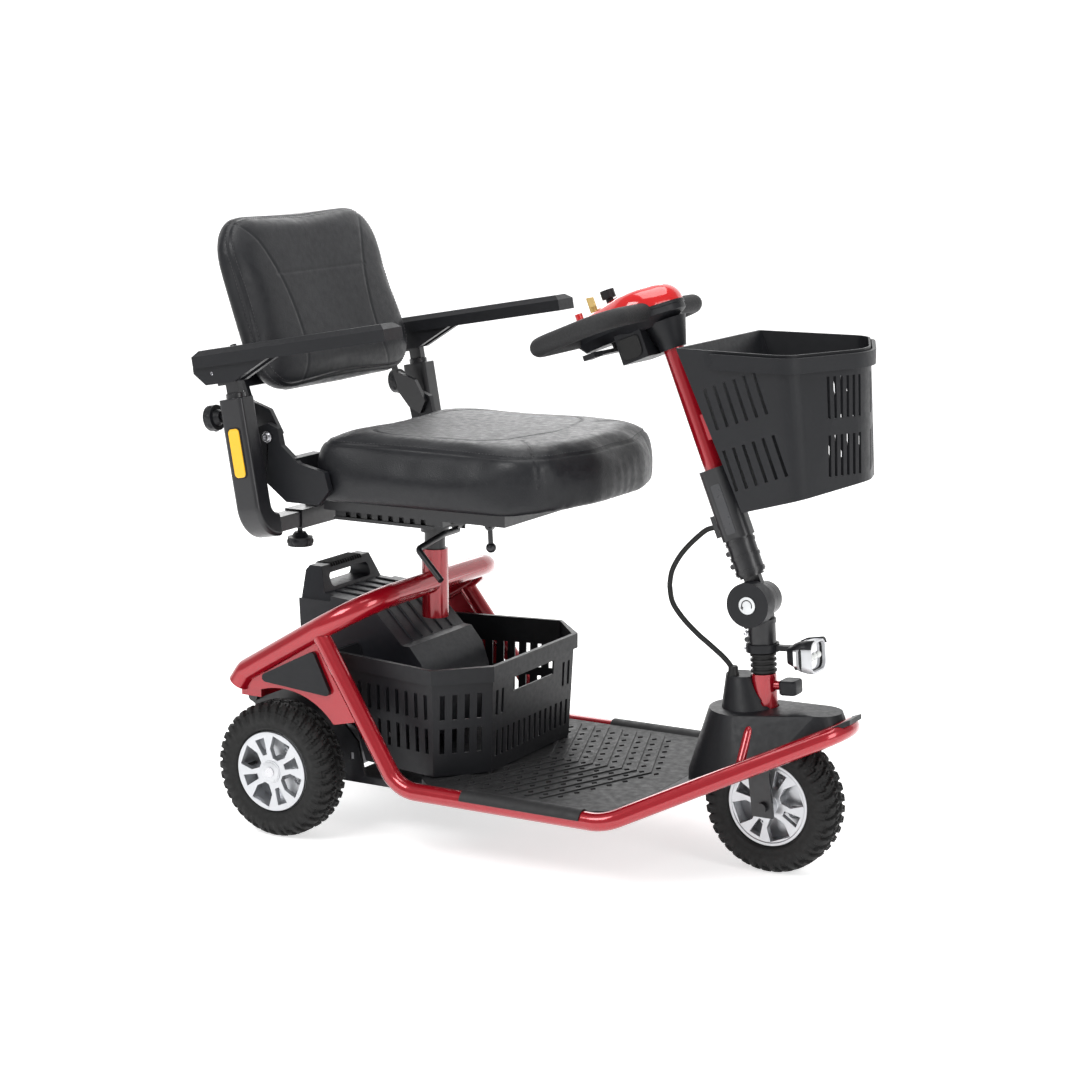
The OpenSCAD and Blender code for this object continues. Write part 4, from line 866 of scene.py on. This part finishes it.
def make_back():
    def ring(inset, x, waist=0.0):
        w, h = BACK_W - inset, BACK_H / 2 - inset
        outline = rounded_outline([(-w, -h, 66), (w, -h, 66), (w, h, 62), (-w, h, 62)])
        out = []
        for p in outline:
            z = BACK_MID + p.y
            t = (z - BACK_LOW) / BACK_H
            widen = 1.0 - 0.07 * max(0, t - 0.35) ** 1.3
            out.append(back_point(x, p.x * widen, z))
        return out

    back, front = BACK_FRONT - BACK_T, BACK_FRONT
    levels = [(60, back + 5), (24, back + 4), (6, back + 8), (-2, back + 19), (-2, front - 20),
              (5, front - 9), (24, front - 4), (70, front - 3)]
    obj = link_mesh("back_pad", *loft([ring(*level) for level in levels]), M["vinyl"])
    inverse = BACK.inverted()
    rear = (back + 8) * MM
    inflate(obj, 1.6, 0.005,
            hold=lambda co: np.array([(inverse @ Vector(c)).x < rear for c in co]))
    half_w, half_h = BACK_W * MM, BACK_H / 2 * MM
    for v in obj.data.vertices:
        q = inverse @ v.co
        u, w = q.y / half_w, (q.z - BACK_MID * MM) / half_h
        if q.x > (front - 26) * MM:
            near = max(0, 1 - u * u) * max(0, 1 - w * w)
            q.x += 0.005 * near - 0.004 * math.exp(-(u / 0.5) ** 2 - ((w + 0.1) / 0.7) ** 2)
            v.co = BACK @ q
    far = BACK_FRONT + 60

    def face_line(points):
        return resample([back_point(far, y, z) for y, z in points])

    seams = []
    for s in (-1, 1):
        curve = smooth_path([Vector((0, s * y, z)) for y, z in (
            (176, BACK_LOW + BACK_H - 10), (150, 312), (128, 268), (112, 220), (104, 160),
            (108, 110), (122, BACK_LOW + 10))], 8)
        seams.append(face_line([(p.y, p.z) for p in curve]))
    seams.append(face_line([(-124, 246), (124, 246)]))
    normal_in = (BACK.to_3x3() @ Vector((-1, 0, 0))).normalized()
    rows = [on_surface(obj, s, lambda p: p + normal_in) for s in seams]
    centre = back_point((back + front) / 2, 0, BACK_MID)
    edge = [back_point(front - 15, p.x, BACK_MID + p.y) for p in rounded_outline(
        [(-BACK_W, -BACK_H / 2, 62), (BACK_W, -BACK_H / 2, 62), (BACK_W, BACK_H / 2, 62),
         (-BACK_W, BACK_H / 2, 62)])]
    edge = resample(edge + edge[:1])

    def to_middle(p):
        q = inverse @ p
        return BACK @ Vector((q.x, q.y * 0.4, BACK_MID * MM
                              + (q.z - BACK_MID * MM) * 0.4))

    edge_rows = on_surface(obj, edge, to_middle)
    groove(obj, [[p for p, _ in row] for row in rows], 0.0012, 0.0020)
    groove(obj, [[p for p, _ in edge_rows]], 0.0022, 0.0026)
    double = []
    for shift in (-0.0042, 0.0042):
        moved = [p + BACK.to_3x3() @ Vector((shift, 0, 0)) for p in edge]
        double.append(on_surface(obj, moved, to_middle))
    stitches("back_stitching", double, M["thread"], "backrest")
    obj.data.polygons.foreach_set("use_smooth", [True] * len(obj.data.polygons))
    settle(obj, "backrest", ["backrest_cushion"])


make_back()

# ------------------------------------------------------------------ steering cable
CABLE = [P(*p) for p in (
    (650, 0, 519.8), (632, -1, 512), (600, -4, 480), (582, -6, 450), (578, -8, 425),
    (584, -10, 400), (602, -12, 378), (628, -13, 356), (652, -14, 340), (674, -14, 324),
    (687, -14, 310), (690, -14, 296))]
CABLE_SPLIT = 4  # the point where the cable crosses from the tiller to the column
CABLE_R = 0.0041


def make_cable():
    upper = smooth_path(CABLE[:CABLE_SPLIT + 1], 8)
    lower = smooth_path(CABLE[CABLE_SPLIT:], 8)
    for name, path, below, above in (("cable_lower", lower, "frame", "steering"),
                                     ("cable_upper", upper, "steering", "tiller")):
        obj = link_mesh(name, *sweep(path, CABLE_R, 14), M["rubber"])
        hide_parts("cable")
        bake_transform(obj)


make_cable()
gland = revolve([(5, -4), (9, -4), (9, 3), (7.5, 6), (7.5, 12), (6, 14), (4.4, 14)], 24)
piece("cable_gland_low", [placed(gland, toward(P(690, -14, 299), (0, 0, 1)))],
      M["rubber"], "frame")

# ------------------------------------------------------------------ column, knob, labels
knob_face = toward(P(KNUCKLE[0], -48.2, KNUCKLE[2]), (0, -1, 0))
piece("knob_label", [placed(revolve([(0, 0), (13.2, 0), (13.2, 0.5), (12.8, 0.8), (0, 0.8)], 48),
                            knob_face)], M["label_white"], "knuckle_knob")
arc = [knob_face @ Vector((0.0082 * math.cos(a), 0.0082 * math.sin(a), 0.0009))
       for a in np.linspace(math.radians(-20), math.radians(200), 24)]
tip = [placed(revolve([(0, 0), (2.4, 0), (0, 4.6)], 16),
              toward(arc[-1], (arc[-1] - arc[-2]).normalized()))]
piece("knob_arrow", [sweep(arc, 0.00075, 8)] + tip, M["rubber"], "knuckle_knob")
for side in (-1, 1):
    strip = [placed(slab(rounded_outline([(-8, 108, 3), (8, 108, 3), (8, 186, 3), (-8, 186, 3)]),
                         0, 0.5), on_side(TILLER, (0, side * 0.0190, 0), side))]
    name = "left" if side > 0 else "right"
    piece(f"column_label_{name}", strip, M["label_dark"], "tiller")
for turn_z in (-72, -50):
    spot = STEER @ Matrix.Translation((-0.0225, -0.010, turn_z * MM))
    bolt = [placed(p, spot @ Matrix.Rotation(math.radians(90), 4, "X")) for p in bolt_parts(3.6, 4)]
    piece(f"clamp_bolt_{-turn_z}", bolt, M["chrome"], "steering")

# ------------------------------------------------------------------ latch at the head tube
latch = rounded_outline([(-14, -17, 7), (14, -17, 7), (14, 17, 7), (-14, 17, 7)])
piece("head_latch", [placed(slab(latch, -12, 10, 2.5), STEER @ Matrix.Translation(
    (0.043, 0, -0.130)))], M["plastic"], "frame")

# ------------------------------------------------------------------ headlight
def lamp_ring(x, w, h, r):
    pts = rounded_outline([(-h, -w, r), (h, -w, r), (h, w, r), (-h, w, r)], 6)
    return [STEER @ Vector((x * MM, p.y * MM, (-82 - p.x) * MM)) for p in pts]


bezel = loft([lamp_ring(62, 21.5, 18, 11), lamp_ring(66, 25, 21.5, 12),
              lamp_ring(80, 28.2, 24.4, 14), lamp_ring(89, 28.4, 24.6, 14),
              lamp_ring(90.5, 27.6, 23.8, 13), lamp_ring(90.5, 24.8, 21, 11.5),
              lamp_ring(85, 24.2, 20.4, 11), lamp_ring(80, 24.0, 20.2, 11)], False)
piece("lamp_bezel", [bezel], M["cap"], "steering")
leds = []
for k in (-1, 0, 1):
    at = toward(STEER @ Vector((0.0846, k * 0.0135, -0.082)), STEER.to_3x3() @ Vector((1, 0, 0)))
    leds.append(placed(revolve([(0, 4.2), (3, 3.6), (5, 1.8), (5.6, 0), (0, -1)], 24), at))
piece("lamp_leds", leds, M["lamp_led"], "steering")
hood = [lamp_ring(58, 22, 18.5, 11), lamp_ring(68, 26.5, 23, 12), lamp_ring(92, 29.4, 25.6, 14)]
keep = [i for i, p in enumerate(hood[2]) if (STEER.inverted() @ p).z > -0.068]
hood_v = [ring[i] for ring in hood for i in keep]
hood_n = len(keep)
hood_f = [(r * hood_n + i, r * hood_n + i + 1, (r + 1) * hood_n + i + 1, (r + 1) * hood_n + i)
          for r in range(2) for i in range(hood_n - 1)
          if (hood_v[i] - hood_v[i + 1]).length < 0.04]
hood_obj = piece("lamp_hood", [(hood_v, hood_f)], M["plastic"], "steering")
thick = hood_obj.modifiers.new("thick", "SOLIDIFY")
thick.thickness = 0.0016
thick.offset = 1

# ------------------------------------------------------------------ armrests
for side, name in ((1, "left"), (-1, "right")):
    flat = on_side(ARM, (0, side * 0.281, 0), side)
    lens = slab(rounded_outline([(-10, 82, 6), (10, 82, 6), (10, 158, 6), (-10, 158, 6)]),
                0.4, 2.6, 0.8)
    rim = slab(rounded_outline([(-12, 80, 7), (12, 80, 7), (12, 160, 7), (-12, 160, 7)]),
               -0.3, 1.1, 0.4)
    piece(f"reflector_{name}", [placed(lens, flat)], M["reflector"], f"arm_{name}")
    piece(f"reflector_rim_{name}", [placed(rim, flat)], M["plastic"], f"arm_{name}")
    outer = ARM @ Matrix.Translation((-0.026, side * 0.2745, 0.247)) @ Matrix.Rotation(
        math.radians(-90 * side), 4, "X")
    piece(f"pad_bolt_{name}", [placed(p, outer) for p in bolt_parts(5, 4)], M["steel"],
          f"arm_{name}_pad")
    hinge = toward(P(BACK_HINGE[0], side * 229, BACK_HINGE[2]), (0, side, 0))
    piece(f"hinge_bolt_{name}", [placed(p, hinge) for p in bolt_parts(6.5, 5)], M["steel"],
          "backrest")

# ------------------------------------------------------------------ battery details
ribs = []
for k in range(5):
    y = -60 + 30 * k
    a, b = P(-4, y, 364.6), P(84, y, 359.2)
    c = P(144, y, 298.6)
    ribs.append(sweep([a, a.lerp(b, 0.5), b, b.lerp(c, 0.5), c], 0.0022, 8))
piece("battery_ribs", ribs, M["battery"], "battery")
grip = [sweep([P(-55.4, y, 394), P(-52, y, 403.6), P(-48, y, 405), P(-24, y, 405),
               P(-21, y, 400)], 0.0014, 6) for y in range(-42, 43, 7)]
piece("battery_grip_ribs", grip, M["rubber"], "battery")

# ------------------------------------------------------------------ charging port flap
flap = slab(rounded_outline([(-62, 404, 9), (-26, 404, 12), (-26, 438, 6), (-62, 438, 6)]),
            -0.5, 3.2, 1.2)
for side, name in ((-1, "right"), (1, "left")):
    face = on_side(TILLER, (0, side * 0.0462, 0), side)
    piece(f"port_flap_{name}", [placed(flap, face)], M["rubber"], "tiller")

# ------------------------------------------------------------------ hand knob lobes
for name, at, body in (
    ("width_left", toward(P(-10, 148, 454), (0, 0, 1)), "width_screw_left"),
    ("width_right", toward(P(-10, -148, 454), (0, 0, 1)), "width_screw_right"),
    ("height_left", ARM @ Matrix.Translation((-0.055, 0.262, 0.178))
     @ Matrix.Rotation(math.radians(90), 4, "Y"), "height_screw_left"),
    ("height_right", ARM @ Matrix.Translation((-0.055, -0.262, 0.178))
     @ Matrix.Rotation(math.radians(90), 4, "Y"), "height_screw_right"),
):
    lobes = revolve([(0, -0.6), (14, -0.6), (19.2, 2), (20.6, 6), (20.6, 9), (18.5, 13),
                     (14, 14.6), (0, 14.6)], 70, 0.055, 7)
    piece(f"knob_lobes_{name}", [placed(lobes, at)], M["plastic"], body)

# ------------------------------------------------------------------ tiller head cover
def head_outline(steps=24):
    """Outline round three circles: the tail, the shoulders and the front of the head."""
    circles = ((-116, 36), (-28, 60), (0, 38))
    points = []
    for k in range(4 * steps):
        a = 2 * math.pi * k / (4 * steps)
        x, r = max(circles, key=lambda c: c[0] * math.cos(a) + c[1])
        points.append((x + r * math.cos(a), r * math.sin(a)))
    return points


def make_cover():
    outline = head_outline()
    middle = (-56.0, 0.0)
    rings = []
    for t in np.linspace(0, 1, 15):
        s = math.cos(t * math.pi / 2) ** 0.62
        ring = []
        for x, y in outline:
            px, py = middle[0] + (x - middle[0]) * s, middle[1] + (y - middle[1]) * s
            tall = 27 + 12 / (1 + math.exp(-(px + 62) / 20))
            z = 468.3 + tall * math.sin(t * math.pi / 2) ** 0.9
            ring.append(TILLER @ Vector((px * MM, py * MM, z * MM)))
        rings.append(ring)
    piece("head_cover", [loft(rings[:-1])], M["gloss_red"], "tiller",
          ["tiller_cover"], sharp=60)
    band = []
    for grow, z in ((-1, 462), (0.8, 463.5), (0.8, 467.5), (-1, 468.6)):
        band.append([TILLER @ Vector(((x + grow * (x - middle[0]) / 70) * MM,
                                      (y + grow * y / 60) * MM, z * MM)) for x, y in outline])
    piece("head_seam", [loft(band)], M["plastic"], "tiller")


make_cover()
